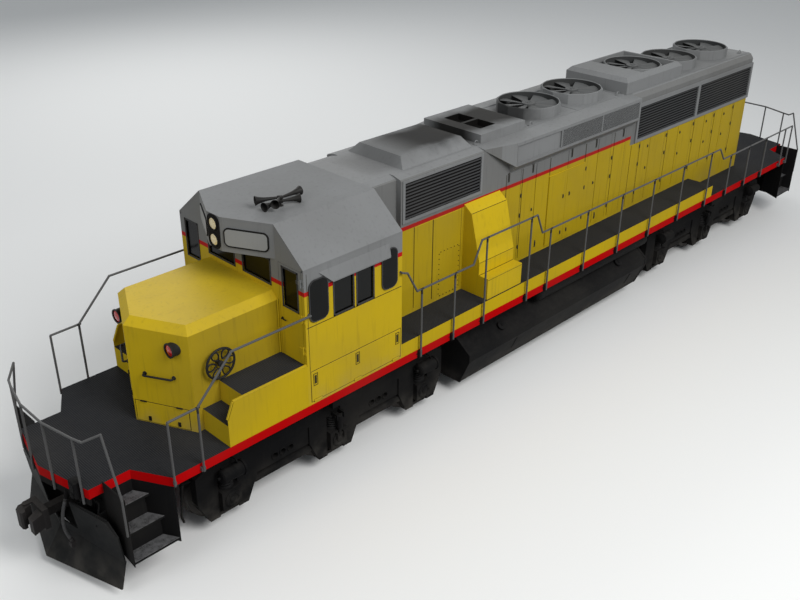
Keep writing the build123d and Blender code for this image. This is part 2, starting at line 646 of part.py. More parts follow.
def snowplow():
    """V blade with a crease, notched for the coupler, on ribs from the pilot sheet."""
    blade = loft([plow_section(0, False), plow_section(1, False)], ruled=True)
    space = loft([plow_section(0, True), plow_section(1, True)], ruled=True)
    corner = [
        (PLOW_HALF_Y + 1, PLOW_TOP[2] + 1), (PLOW_HALF_Y - PLOW_CORNER, PLOW_TOP[2] + 1),
        (PLOW_HALF_Y + 1, PLOW_TOP[2] - PLOW_CORNER),
    ]
    x_range = (END_SHEET_X, COUPLER_FACE_X)
    blade -= prism("x", corner, *x_range)
    blade -= block(x_range, (-1, PLOW_NOTCH[0]), (PLOW_NOTCH[1], PLOW_TOP[2] + 1))
    pieces = [blade]
    for y in PLOW_RIBS_Y:
        rib = block((END_SHEET_X + PLATE, DECK_TIP_X + 100), (y, y + 30),
                    (PLOW_BOTTOM[2] + 60, PLOW_TOP[2] - 20))
        pieces.append(rib - space)
    half = joined(pieces)
    return half + other_side(half)


def diagonal_x(y):
    """Front edge of the platform's shoulder at a given distance from the centreline."""
    share = (DECK_HALF - y) / (DECK_HALF - DECK_CORNER_Y)
    return DECK_SHOULDER_X + share * (STEP_WELL_X - DECK_SHOULDER_X)


def steps():
    """Both stairs of the front platform: two side plates, a back plate and three treads each."""
    top = DECK_TOP - SILL_DEPTH
    x = END_SHEET_X
    inside = DECK_CORNER_Y - PLATE
    front = prism("x", [
        (inside, STEP_PLATE_HEEL), (DECK_HALF, STEP_PLATE_BOTTOM), (DECK_HALF, STEP_PLATE_TOP),
        (DECK_CORNER_Y, STEP_PLATE_TOP), (DECK_CORNER_Y, top), (inside, top),
    ], x, x + PLATE)
    rear = prism("z", [
        (DECK_SHOULDER_X, DECK_HALF), (STEP_WELL_X, DECK_CORNER_Y),
        (STEP_WELL_X - PLATE, DECK_CORNER_Y), (DECK_SHOULDER_X - PLATE, DECK_HALF),
    ], STEP_PLATE_BOTTOM, top)
    back = block((STEP_WELL_X - PLATE, x), (inside, DECK_CORNER_Y), (STEP_PLATE_BOTTOM, top))
    pieces = [front, rear, back]
    for level, outer in zip(TREAD_LEVELS, TREAD_OUTER_Y):
        inner = max(outer - TREAD_DEPTH, DECK_CORNER_Y)
        tread = [(diagonal_x(outer), outer), (x, outer), (x, inner), (diagonal_x(inner), inner)]
        pieces.append(prism("z", tread, level - TREAD_SHEET, level))
        behind = inner - SHEET
        riser = [(diagonal_x(inner), inner), (x, inner), (x, behind), (diagonal_x(behind), behind)]
        if inner > DECK_CORNER_Y:
            pieces.append(prism("z", riser, level - TREAD_SHEET, level + TREAD_RISER))
    return pair(joined(pieces))


# ---------------------------------------------------------------- couplers
def coupler():
    """Front coupler body: shank with its pivot hole, head, guard arm and the knuckle's pin."""
    low, high = COUPLER_Z - SHANK_HALF, COUPLER_Z + SHANK_HALF
    eye = COUPLER_PIVOT_X
    shank = block((eye, HEAD_START_X), (-SHANK_HALF, SHANK_HALF), (low, high))
    shank += disc("z", (eye, 0, low), SHANK_HALF + 20, high - low)
    shank -= disc("z", (eye, 0, low), PIVOT_RADIUS + RUNNING_FIT, high - low)
    z = (COUPLER_Z - HEAD_HALF_Z, COUPLER_Z + HEAD_HALF_Z)
    head = block((HEAD_START_X, HEAD_BACK_X), (-HEAD_HALF_Y, HEAD_HALF_Y), z)
    arm = prism("z", [
        (HEAD_BACK_X, GUARD_ARM_Y[0] - 60), (GUARD_ARM_X, GUARD_ARM_Y[0] + 40),
        (GUARD_ARM_X, GUARD_ARM_Y[1] + 60), (HEAD_BACK_X, GUARD_ARM_Y[1]),
    ], *z)
    pieces = [shank, head, arm]
    pin_x, pin_y = KNUCKLE_PIN
    reach = KNUCKLE_HALF_Z + RUNNING_FIT
    for side in (-1, 1):
        inner, outer = COUPLER_Z + side * reach, COUPLER_Z + side * (reach + KNUCKLE_LUG)
        lug_z = sorted((inner, outer))
        lug = block((HEAD_BACK_X, pin_x), (pin_y - 45, pin_y + 45), lug_z)
        lug += disc("z", (pin_x, pin_y, lug_z[0]), 45, KNUCKLE_LUG)
        cheek_z = sorted((COUPLER_Z + side * HEAD_HALF_Z, outer))
        cheek = block((HEAD_START_X, HEAD_BACK_X), (-HEAD_HALF_Y, HEAD_HALF_Y), cheek_z)
        pieces += [lug, cheek]
    pin_length = 2 * (reach + KNUCKLE_LUG)
    pieces.append(disc("z", (pin_x, pin_y, COUPLER_Z - pin_length / 2), KNUCKLE_PIN_RADIUS, pin_length))
    return joined(pieces)


def knuckle():
    """Front coupler's hook, which swings open about its pin."""
    face = COUPLER_SPAN / 2
    y0, y1 = KNUCKLE_Y
    z = (COUPLER_Z - KNUCKLE_HALF_Z, COUPLER_Z + KNUCKLE_HALF_Z)
    outline = [
        (KNUCKLE_X, y0 + 20), (KNUCKLE_X + 20, y0), (face - 60, y0), (face, y0 + 60),
        (face, y1 - 10), (face - 25, y1 + 25), (face - 70, y1 + 15), (face - 90, y1 - 40),
        (KNUCKLE_X, y1 - 70),
    ]
    body = prism("z", outline, *z)
    x, y = KNUCKLE_PIN
    return body - disc("z", (x, y, z[0]), KNUCKLE_PIN_RADIUS + RUNNING_FIT, z[1] - z[0])


# ---------------------------------------------------------------- tanks
def fuel_tank():
    """Tank across the frame, hung on plates from the deck slab."""
    left = list(TANK_PROFILE)
    outline = left + [(-y, z) for y, z in reversed(left)]
    tank = prism("x", outline, *TANK_X)
    top = TANK_PROFILE[-1][1]
    pieces = [tank]
    for x in TANK_HANGERS_X:
        hanger = block((x, x + TANK_HANGER), (CENTRE_SILL_Y[1] + 60, TANK_PROFILE[-1][0] - 20),
                       (top, DECK_TOP - SILL_DEPTH))
        pieces += [hanger, other_side(hanger)]
    return joined(pieces)


def reservoir():
    """Left air reservoir, with straps up to the deck slab."""
    x0, x1 = RESERVOIR_X
    body = disc("x", (x0, RESERVOIR_Y, RESERVOIR_Z), RESERVOIR_RADIUS, x1 - x0)
    body = fillet(body.edges().filter_by(GeomType.CIRCLE), RESERVOIR_DOME)
    pieces = [body]
    for x in RESERVOIR_STRAPS_X:
        pieces.append(block((x, x + 50), (RESERVOIR_Y - 60, RESERVOIR_Y + 60),
                            (RESERVOIR_Z + 100, DECK_TOP - SILL_DEPTH)))
    return joined(pieces)


# ---------------------------------------------------------------- walkways
def walkway(duct_gap):
    """Left raised walkway behind the cab, and the box and step beside the nose."""
    inner = HOOD_HALF_Y
    top = block((WALKWAY_REAR_X, CAB_REAR_X), (inner, DECK_HALF), (WALKWAY_TOP - SHEET, WALKWAY_TOP))
    skirt = block((WALKWAY_REAR_X, CAB_REAR_X), (DECK_HALF - SHEET, DECK_HALF), (DECK_TOP, WALKWAY_TOP))
    end = block((WALKWAY_REAR_X, WALKWAY_REAR_X + SHEET), (inner, DECK_HALF), (DECK_TOP, WALKWAY_TOP))
    raised = joined([top, skirt, end])
    if duct_gap:
        raised -= block(DUCT_X, (inner, DUCT_BOX_Y), (WALKWAY_TOP - SHEET, WALKWAY_TOP))
    box = block((CAB_FRONT_X, SIDE_BOX_X), (NOSE_HALF_Y, DECK_HALF - SHEET), (DECK_TOP, SIDE_BOX_TOP))
    step = block((SIDE_BOX_X, SIDE_STEP_X), (NOSE_HALF_Y, DECK_HALF - SHEET), (DECK_TOP, SIDE_STEP_TOP))
    guard = prism("y", [
        (CAB_FRONT_X, DECK_TOP), (SIDE_STEP_X, DECK_TOP), (SIDE_STEP_X, SIDE_STEP_TOP + 90),
        (SIDE_GUARD_TOP_X, SIDE_BOX_TOP + 8), (CAB_FRONT_X, SIDE_BOX_TOP + 8),
    ], DECK_HALF - SHEET, DECK_HALF)
    return Compound([raised, joined([box, step, guard])])


# ---------------------------------------------------------------- nose
def nose():
    """Prow-fronted nose with a bevel round its top, made of sheet and open beneath."""
    def body(inset, base):
        half = NOSE_HALF_Y - inset
        slope = (NOSE_APEX_X - NOSE_CORNER_X) / NOSE_HALF_Y
        corner = NOSE_CORNER_X - inset
        apex = corner + slope * half
        outline = [(CAB_FRONT_X, half), (corner, half), (apex, 0), (corner, -half), (CAB_FRONT_X, -half)]
        top = NOSE_TOP_Z - inset
        lower = prism("z", outline, base, NOSE_BEVEL_Z - inset)
        shrink = NOSE_BEVEL
        small = [
            (CAB_FRONT_X, half - shrink), (corner - shrink / 2, half - shrink), (apex - shrink, 0),
            (corner - shrink / 2, shrink - half), (CAB_FRONT_X, shrink - half),
        ]
        base_face = make_face(Polyline([(x, y, NOSE_BEVEL_Z - inset) for x, y in outline], close=True))
        top_face = make_face(Polyline([(x, y, top) for x, y in small], close=True))
        return lower + loft([base_face, top_face], ruled=True)
    return body(0, DECK_TOP) - body(SHEET, DECK_TOP)


# ---------------------------------------------------------------- cab
def cab_floor():
    """Cab floor on its base, between the side walls."""
    half = DECK_HALF - CAB_WALL
    x = (CAB_REAR_X + CAB_WALL, CAB_FRONT_X - CAB_WALL)
    floor = block(x, (-half, half), (SIDE_BOX_TOP - CAB_FLOOR, SIDE_BOX_TOP))
    legs = [block((a, a + CAB_WALL), (-half, half), (DECK_TOP, SIDE_BOX_TOP - CAB_FLOOR))
            for a in (x[0], (x[0] + x[1]) / 2, x[1] - CAB_WALL)]
    return joined([floor] + legs)


def cab_side():
    """Left cab wall with its two window openings."""
    wall = block((CAB_REAR_X, CAB_FRONT_X), (DECK_HALF - CAB_WALL, DECK_HALF), (DECK_TOP, CAB_EAVE_Z))
    for x in SIDE_WINDOWS_X:
        wall -= block(x, (DECK_HALF - CAB_WALL, DECK_HALF), SIDE_WINDOWS_Z)
    return wall


def roof_z(y):
    """Height of the cab roof's outside over a point across the cab."""
    if abs(y) <= CAB_ROOF_HALF_Y:
        return CAB_ROOF_Z
    share = (abs(y) - CAB_ROOF_HALF_Y) / (DECK_HALF - CAB_ROOF_HALF_Y)
    return CAB_ROOF_Z + share * (CAB_EAVE_Z - CAB_ROOF_Z)


def roof_profile(z_offset):
    """Half-hexagon line of the cab roof from left eave to right eave."""
    half = [(DECK_HALF, CAB_EAVE_Z), (CAB_ROOF_HALF_Y, CAB_ROOF_Z)]
    line = half + [(-y, z) for y, z in reversed(half)]
    return [(y, z + z_offset) for y, z in line]


def prow_outline(inset):
    """Plan of the prow-shaped lamp housing in front of the cab's flat wall."""
    slope = (CAB_PROW_X - CAB_FRONT_X) / (CAB_ROOF_HALF_Y - CAB_PROW_HALF_Y)
    half = CAB_ROOF_HALF_Y - inset
    tip = CAB_PROW_X - inset
    return [
        (CAB_FRONT_X, half), (tip, half - (tip - CAB_FRONT_X) / slope),
        (tip, (tip - CAB_FRONT_X) / slope - half), (CAB_FRONT_X, -half),
    ]


def cab_roof():
    """Roof sheet with its sloping eaves, and the flat over the lamp housing."""
    outline = roof_profile(CAB_ROOF_SHEET) + list(reversed(roof_profile(0)))
    sheet = prism("x", outline, CAB_REAR_X, CAB_FRONT_X)
    prow = prism("z", prow_outline(0), CAB_ROOF_Z, CAB_ROOF_Z + CAB_ROOF_SHEET)
    return sheet + prow


def end_wall(x0, x1, low):
    """Flat wall across the cab under the roof line."""
    inner = DECK_HALF - CAB_WALL
    top_left = (inner, roof_z(inner))
    ridge = (CAB_ROOF_HALF_Y, CAB_ROOF_Z)
    right = [(-CAB_ROOF_HALF_Y, CAB_ROOF_Z), (-inner, top_left[1]), (-inner, low)]
    outline = [(inner, low), top_left, ridge] + right
    return prism("x", outline, x0, x1)


def cab_door_hole(x0, x1, side):
    """Opening for a cab door; side is +1 for the left."""
    y = sorted((side * DOOR_INSET_Y, side * (DOOR_INSET_Y + DOOR_WIDTH)))
    return block((x0, x1), y, (SIDE_BOX_TOP, DOOR_TOP))


def windshields(x0, x1):
    """Slabs through both windshields between two X values."""
    left = block((x0, x1), WINDSHIELD_Y, WINDSHIELD_Z)
    return [left, other_side(left)]


def cab_front():
    """Front wall: door opening on the left, a window on the right and a lamp housing over two windshields."""
    x0, x1 = CAB_FRONT_X - CAB_WALL, CAB_FRONT_X
    wall = end_wall(x0, x1, SIDE_BOX_TOP)
    wall -= cab_door_hole(x0, x1, 1)
    margin = DOOR_INSET_Y + DOOR_WINDOW_MARGIN
    wall -= block((x0, x1), (-margin - DOOR_WIDTH + 2 * DOOR_WINDOW_MARGIN, -margin), DOOR_WINDOW_Z)
    for opening in windshields(x0, x1):
        wall -= opening
    housing = prism("z", prow_outline(0), LAMP_HOUSING_Z, CAB_ROOF_Z)
    housing -= prism("z", prow_outline(CAB_WALL), LAMP_HOUSING_Z + CAB_WALL, CAB_ROOF_Z)
    return joined([wall, housing] + door_hinges(x1, 1, 1)[0])


def cab_rear():
    """Rear wall: window on the left, door opening on the right and the way to the hood closed."""
    x0, x1 = CAB_REAR_X, CAB_REAR_X + CAB_WALL
    wall = end_wall(x0, x1, DECK_TOP)
    wall -= block((x0, x1), REAR_WINDOW_Y, REAR_WINDOW_Z)
    wall -= cab_door_hole(x0, x1, -1)
    return joined([wall] + door_hinges(x0, -1, -1)[0])


def cab_glass():
    """Fixed and sliding panes of the cab, each set in the middle of its wall."""
    panes = []
    y = DECK_HALF - CAB_WALL / 2
    for x0, x1 in SIDE_WINDOWS_X:
        pane = block((x0, x1), (y - GLASS / 2, y + GLASS / 2), SIDE_WINDOWS_Z)
        panes += [pane, other_side(pane)]
    x = CAB_REAR_X + CAB_WALL / 2
    panes.append(block((x - GLASS / 2, x + GLASS / 2), REAR_WINDOW_Y, REAR_WINDOW_Z))
    x = CAB_FRONT_X - CAB_WALL / 2
    panes += windshields(x - GLASS / 2, x + GLASS / 2)
    margin = DOOR_INSET_Y + DOOR_WINDOW_MARGIN
    panes.append(block((x - GLASS / 2, x + GLASS / 2),
                       (-margin - DOOR_WIDTH + 2 * DOOR_WINDOW_MARGIN, -margin), DOOR_WINDOW_Z))
    return Compound(panes)


def door_hinges(x_out, outward, side):
    """Hinges of one cab door as two shapes: what the wall carries and what the leaf carries."""
    x = x_out + outward * (HINGE_RADIUS + RUNNING_FIT)
    y = side * (DOOR_INSET_Y + DOOR_WIDTH - SWING_GAP / 2)
    reach, thickness = HINGE_STRAP
    strap_x = sorted((x_out, x_out + outward * thickness))
    on_wall, on_leaf = [], []
    for z in DOOR_HINGES_Z:
        top = z + HINGE_LENGTH
        strap = block(strap_x, sorted((y - side * reach, y)), (z, top))
        barrel = disc("z", (x, y, z), HINGE_RADIUS, HINGE_LENGTH)
        on_leaf.append((strap + barrel) - disc("z", (x, y, z), HINGE_PIN + RUNNING_FIT, HINGE_LENGTH))
        for low in (z - RUNNING_FIT - HINGE_LUG, top + RUNNING_FIT):
            on_wall.append(block(strap_x, sorted((y, y + side * reach / 2)), (low, low + HINGE_LUG)))
            on_wall.append(disc("z", (x, y, low), HINGE_RADIUS, HINGE_LUG))
        on_wall.append(disc("z", (x, y, z - HINGE_LUG), HINGE_PIN, HINGE_LENGTH + 2 * HINGE_LUG))
    return on_wall, on_leaf


def cab_door(x_out, outward, side):
    """Door leaf in its opening, hinged on its outboard edge."""
    gap = SWING_GAP
    y0, y1 = sorted((side * (DOOR_INSET_Y + gap), side * (DOOR_INSET_Y + DOOR_WIDTH - gap)))
    x = sorted((x_out, x_out - outward * DOOR_LEAF))
    leaf = block(x, (y0, y1), (SIDE_BOX_TOP + gap, DOOR_TOP - gap))
    window = (y0 + DOOR_WINDOW_MARGIN, y1 - DOOR_WINDOW_MARGIN)
    leaf -= block(x, window, DOOR_WINDOW_Z)
    return joined([leaf] + door_hinges(x_out, outward, side)[1])


def cab_interior():
    """Three crew seats on pedestals and the driver's control stand."""
    pieces = []
    floor = SIDE_BOX_TOP
    seat = floor + SEAT_HEIGHT
    half = SEAT_WIDTH / 2
    for x, y in SEATS:
        post = disc("z", (x, y, floor), SEAT_POST_RADIUS, SEAT_HEIGHT)
        cushion = block((x - half, x + half), (y - half, y + half), (seat, seat + SEAT_CUSHION))
        back = block((x - half - SEAT_BACK, x - half), (y - half, y + half), (seat, floor + SEAT_BACK_TOP))
        pieces.append(joined([post, cushion, back]))
    pieces.append(block(STAND_X, STAND_Y, (floor, floor + SEAT_BACK_TOP)))
    return Compound(pieces)


# ---------------------------------------------------------------- hoods
def hood_shell(x0, x1, shoulder, inset=0):
    """Upside-down trough: the outside or, with an inset, the space inside a hood."""
    left = [(shoulder[0][0] - inset, DECK_TOP)] + [(y - inset, z - inset) for y, z in shoulder]
    outline = left + [(-y, z) for y, z in reversed(left)]
    return prism("x", outline, x0, x1)


def hood(x0, x1, shoulder, closed_rear=False):
    """Sheet hood between two stations."""
    inner_start = x0 + SHEET if closed_rear else x0
    return hood_shell(x0, x1, shoulder) - hood_shell(inner_start, x1, shoulder, SHEET)


def grille_backing(x, z, lap):
    """Plate behind a grille opening of the left hood side, lapping it all round."""
    y = HOOD_HALF_Y - SHEET
    return block((x[0] - lap, x[1] + lap), (y - GRILLE_DEPTH, y), (z[0] - lap, z[1] + lap))


def filter_hood():
    """Hood behind the cab with a narrow neck and the filter louvres' recess on each side."""
    shell = hood(FILTER_REAR_X, HOOD_NECK_X, HOOD_SHOULDER)
    narrow = HOOD_HALF_Y - HOOD_NECK_HALF_Y
    neck_shoulder = [(y - narrow, z) for y, z in HOOD_SHOULDER]
    neck_start = HOOD_NECK_X - SHEET
    shell += hood_shell(neck_start, HOOD_NECK_X, HOOD_SHOULDER)
    shell += hood_shell(HOOD_NECK_X, CAB_REAR_X, neck_shoulder)
    shell -= hood_shell(neck_start, CAB_REAR_X, neck_shoulder, SHEET)
    pieces = []
    for side in (-1, 1):
        y = sorted((side * HOOD_HALF_Y, side * (HOOD_HALF_Y - SHEET)))
        shell -= block(LOUVRE_X, y, LOUVRE_Z)
        backing = grille_backing(LOUVRE_X, LOUVRE_Z, GRILLE_LAP)
        pieces.append(backing if side > 0 else other_side(backing))
    return joined([shell] + pieces)


def flare():
    """Left bulge of the dynamic-brake section, tapered to a point at its front."""
    y0, y1 = HOOD_HALF_Y, FLARE_HALF_Y
    edge_z = HOOD_SHOULDER[1][1]
    roof_y, roof_z_top = HOOD_SHOULDER[2]
    body = prism("x", [
        (y0, FLARE_BOTTOM_Z), (y1, FLARE_KNEE_Z), (y1, edge_z), (roof_y, roof_z_top),
        (roof_y, FLARE_BOTTOM_Z),
    ], BRAKE_REAR_X, FILTER_REAR_X)
    beyond = y1 + PLATE
    body -= prism("z", [
        (FLARE_FRONT_X, y1), (FILTER_REAR_X, y0), (FILTER_REAR_X, beyond), (FLARE_FRONT_X, beyond),
    ], FLARE_BOTTOM_Z, roof_z_top)
    body -= prism("y", [
        (FILTER_REAR_X, edge_z), (FLARE_FRONT_X, FLARE_KNEE_Z), (FLARE_FRONT_X, FLARE_BOTTOM_Z),
        (FILTER_REAR_X, FLARE_BOTTOM_Z),
    ], roof_y, beyond)
    for x in FLARE_GRILLES_X:
        body -= block(x, (y1 - GRILLE_DEPTH, y1), FLARE_GRILLE_Z)
    return body


def engine_hood():
    """Engine hood with the flared dynamic-brake grilles at its top and its door openings."""
    shell = hood(BRAKE_REAR_X, FILTER_REAR_X, HOOD_SHOULDER)
    for hinge_x, toward in hood_door_hinges():
        reach = (HOOD_DOOR_LAP, HOOD_DOOR_WIDTH - HOOD_DOOR_LAP)
        opening = sorted(hinge_x + toward * length for length in reach)
        height = (HOOD_DOOR_Z[0] + HOOD_DOOR_LAP, HOOD_DOOR_Z[1] - HOOD_DOOR_LAP)
        shell -= block(opening, (-HOOD_HALF_Y, HOOD_HALF_Y), height)
    bulge = flare() - hood_shell(BRAKE_REAR_X, FILTER_REAR_X, HOOD_SHOULDER, SHEET)
    return joined([shell, bulge, other_side(bulge)])


def radiator_hood():
    """Rear hood: cooling-air grilles high on each side and a closed end."""
    shell = hood(HOOD_REAR_X, BRAKE_REAR_X, RADIATOR_SHOULDER, closed_rear=True)
    pieces = []
    for x in RADIATOR_GRILLES_X:
        backing = grille_backing(x, RADIATOR_GRILLE_Z, GRILLE_LAP)
        pieces += [backing, other_side(backing)]
        for side in (-1, 1):
            y = sorted((side * HOOD_HALF_Y, side * (HOOD_HALF_Y - SHEET)))
            shell -= block(x, y, RADIATOR_GRILLE_Z)
    return joined([shell] + pieces)


def fan_housing(x, base):
    """Twelve-sided ring round a roof fan, with the motor post and its cross arms."""
    outer = FAN_RADIUS + FAN_GAP + FAN_WALL
    ring = extrude(Plane((x, 0, base)) * RegularPolygon(outer, 12), amount=FAN_RIM_HEIGHT)
    ring -= disc("z", (x, 0, base), FAN_RADIUS + FAN_GAP, FAN_RIM_HEIGHT)
    reach = FAN_RADIUS + FAN_GAP + 5
    half = FAN_ARM / 2
    arm_z = (base, base + FAN_ARM / 2)
    arms = block((x - reach, x + reach), (-half, half), arm_z)
    arms += block((x - half, x + half), (-reach, reach), arm_z)
    post = disc("z", (x, 0, base), FAN_POST_RADIUS, FAN_POST)
    spindle = disc("z", (x, 0, base), FAN_SPINDLE_RADIUS, FAN_POST + FAN_HUB_HEIGHT / 2)
    return joined([ring, arms, post, spindle])


def fan_base(x):
    """Level of the seat under a roof fan."""
    rear, front = FAN_HATCH_X
    return HOOD_TOP + FAN_HATCH_LIFT if rear < x < front else HOOD_TOP


def fan(x):
    """Fan rotor: a hub on the spindle and pitched blades."""
    base = fan_base(x) + FAN_POST + RUNNING_FIT
    hub = disc("z", (x, 0, base), FAN_HUB_RADIUS, FAN_HUB_HEIGHT)
    hub -= disc("z", (x, 0, base), FAN_SPINDLE_RADIUS + RUNNING_FIT, FAN_HUB_HEIGHT / 2 + SWING_GAP)
    pieces = [hub]
    root = FAN_HUB_RADIUS - FAN_BLADE_SHEET
    length = FAN_RADIUS - root
    for count in range(FAN_BLADES):
        blade = Pos(root + length / 2, 0, 0) * Rot(FAN_PITCH, 0, 0) * Box(length, FAN_CHORD, FAN_BLADE_SHEET)
        turned = Rot(0, 0, count * 360 / FAN_BLADES) * blade
        pieces.append(Pos(x, 0, base + FAN_HUB_HEIGHT / 2) * turned)
    rotor = joined(pieces)
    return rotor & disc("z", (x, 0, base - FAN_POST), FAN_RADIUS, FAN_RIM_HEIGHT)


def frustum(low, high, z0, z1):
    """Box with sloping sides, from one rectangle (x range, half width) up to another."""
    faces = []
    for (x, half), z in ((low, z0), (high, z1)):
        corners = [(x[0], -half, z), (x[1], -half, z), (x[1], half, z), (x[0], half, z)]
        faces.append(make_face(Polyline(corners, close=True)))
    return loft(faces, ruled=True)


def fan_hatch():
    """Raised hatch round the third fan: straight sides, a sloping top rim and a square well."""
    x0, x1 = FAN_HATCH_X
    rim = FAN_HATCH_BEVEL
    side_top = HOOD_TOP + FAN_HATCH_SIDE_HEIGHT
    body = block((x0, x1), (-FAN_HATCH_HALF, FAN_HATCH_HALF), (HOOD_TOP, side_top))
    body += frustum(((x0, x1), FAN_HATCH_HALF), ((x0 + rim, x1 - rim), FAN_HATCH_HALF - rim),
                    side_top, side_top + rim)
    x = RADIATOR_FANS_X[0]
    well = FAN_WELL_HALF
    return body - block((x - well, x + well), (-well, well), (HOOD_TOP + FAN_HATCH_LIFT, side_top + rim))


def roof_hatches():
    """Filter hatch, exhaust hatch, the raised fan hatch and the fans' housings on the hood roof."""
    filter_hatch = frustum(*FILTER_HATCH, HOOD_TOP, HOOD_TOP + FILTER_HATCH_HEIGHT)
    top = HOOD_TOP + EXHAUST_HATCH_HEIGHT
    exhaust = block(EXHAUST_HATCH_X, (-EXHAUST_HATCH_HALF, EXHAUST_HATCH_HALF), (HOOD_TOP, top))
    inner, outer = EXHAUST_STACKS_BAR / 2, EXHAUST_STACKS_HALF
    for stack_y in ((inner, outer), (-outer, -inner)):
        exhaust -= block(EXHAUST_STACKS_X, stack_y, (top - EXHAUST_STACK_DEPTH, top))
    solids = [filter_hatch, exhaust]
    for x in BRAKE_FANS_X + RADIATOR_FANS_X:
        base = fan_base(x)
        housing = fan_housing(x, base)
        solids.append(housing if base == HOOD_TOP else housing + fan_hatch())
    return Compound(solids)


def blower_duct():
    """Left duct that widens downward, with the box at its foot."""
    (y0, z0), (y1, z1), (y2, z2) = DUCT_PROFILE
    base = DECK_TOP
    duct = prism("x", [(y0, base), (y0, z0), (y1, z1), (y2, z2), (y2, base)], *DUCT_X)
    box = block(DUCT_X, (y2, DUCT_BOX_Y), (base, DUCT_BOX_TOP))
    return duct + box


def engine_block():
    """Engine and generator as one plain block."""
    return block(ENGINE_X, (-ENGINE_HALF_Y, ENGINE_HALF_Y), (DECK_TOP, ENGINE_TOP))


def hood_door_hinges():
    """Hinge line of each leaf in a pair, with the direction in which the leaf lies from it."""
    reach = HOOD_DOOR_WIDTH + SWING_GAP / 2
    return ((HOOD_DOOR_PAIR_X + reach, -1), (HOOD_DOOR_PAIR_X - reach, 1))


def hood_door(hinge_x, toward, side):
    """One leaf over the engine, lying on the hood's side."""
    inner = HOOD_HALF_Y + RUNNING_FIT
    y = sorted((side * inner, side * (inner + HOOD_DOOR_THICKNESS)))
    x = sorted((hinge_x, hinge_x + toward * HOOD_DOOR_WIDTH))
    return block(x, y, HOOD_DOOR_Z)


# ---------------------------------------------------------------- rails
def post_foot(x):
    """Lug between the side sill and the foot of a rail post."""
    return block(x, (DECK_HALF, RAIL_Y), (POST_FOOT_Z, POST_FOOT_Z + POST_FOOT))


def side_rails():
    """Left handrail: the long run with its posts, and the run beside the nose."""
    y = RAIL_Y
    radius = RAIL / 2
    run = pipe([(LEFT_RAIL[0][0], DECK_HALF, LEFT_RAIL[0][1])] + [(x, y, z) for x, z in LEFT_RAIL], radius)
    pieces = [run]
    for xs, top in ((POSTS_LOW_X, RAIL_Z), (POSTS_HIGH_X, RAIL_HIGH_Z), (POSTS_REAR_X, RAIL_REAR_Z)):
        for x in xs:
            pieces.append(rod((x, y, POST_FOOT_Z), (x, y, top), radius))
            pieces.append(post_foot((x - POST_FOOT / 2, x + POST_FOOT / 2)))
    front = [(x, y, z) for x, z in FRONT_RAIL]
    bracket_x = CAB_FRONT_X - POST_FOOT
    bracket = [(bracket_x, DECK_HALF, FRONT_RAIL_Z), (bracket_x, y, FRONT_RAIL_Z)]
    pieces_front = [pipe(bracket + front[1:], radius)]
    for x, z in FRONT_RAIL[2:]:
        pieces_front.append(rod((x, y, POST_FOOT_Z), (x, y, z), radius))
        pieces_front.append(post_foot((x - POST_FOOT / 2, min(x + POST_FOOT / 2, DECK_SHOULDER_X))))
    return Compound([joined(pieces), joined(pieces_front)])


def end_rails():
    """Front end rail: stair posts, corner posts and the low bar across the middle."""
    radius = RAIL / 2
    stair_x = END_SHEET_X + PLATE + radius + BEND_SWELL
    slope = (DECK_TIP_X - DECK_CORNER_X) / DECK_CORNER_Y
    stair = [(stair_x, DECK_HALF - radius, STEP_POST_FOOT_Z), (stair_x, DECK_HALF - radius, STEP_PLATE_TOP)]
    tops = [(DECK_TIP_X - slope * y + radius + BEND_SWELL, y, z) for y, z in END_POSTS]
    half = stair + [(stair_x, *END_RAIL_TOP), END_RAIL_CORNER] + tops
    line = half + [(x, -y, z) for x, y, z in reversed(half)]
    pieces = [pipe(line, radius)]
    for x, y, z in tops:
        post = rod((x, y, END_LIP_BOTTOM + SWING_GAP), (x, y, z), radius)
        pieces += [post, other_side(post)]
    return joined(pieces)


# ---------------------------------------------------------------- small pieces
def horn():
    """Air horn on the cab roof: a stand and five bells."""
    x0, y0 = HORN_PLACE
    z0 = CAB_ROOF_Z + CAB_ROOF_SHEET
    pieces = [disc("z", (x0, y0, z0), HORN_STAND_RADIUS, HORN_STAND_HEIGHT)]
    for turn, reach, level in HORN_BELLS:
        along = (cos(radians(turn)), sin(radians(turn)))
        start = (x0, y0, z0 + level)
        throat, tip = [(x0 + share * reach * along[0], y0 + share * reach * along[1], z0 + level)
                       for share in (0.7, 1)]
        pieces.append(rod(start, throat, HORN_THROAT_RADIUS))
        pieces.append(rod(throat, tip, HORN_BELL_RADIUS))
    return joined(pieces)


def brake_wheel():
    """Hand-brake wheel on the left of the nose: shaft, rim and spokes."""
    x, z = BRAKE_WHEEL_CENTRE
    y = NOSE_HALF_Y
    face = y + BRAKE_WHEEL_STANDOFF
    rim = disc("y", (x, face, z), BRAKE_WHEEL_RADIUS, BRAKE_WHEEL_RIM)
    rim -= disc("y", (x, face, z), BRAKE_WHEEL_RADIUS - BRAKE_WHEEL_RIM, BRAKE_WHEEL_RIM)
    shaft = disc("y", (x, y, z), BRAKE_WHEEL_RIM, BRAKE_WHEEL_STANDOFF + BRAKE_WHEEL_RIM)
    reach = BRAKE_WHEEL_RADIUS - BRAKE_WHEEL_RIM / 2
    spoke = block((x - 7, x + 7), (face + 5, face + BRAKE_WHEEL_RIM - 5), (z - reach, z + reach))
    axis = Axis((x, y, z), (0, 1, 0))
    return joined([shaft, rim] + [spoke.rotate(axis, turn) for turn in (0, 60, 120)])


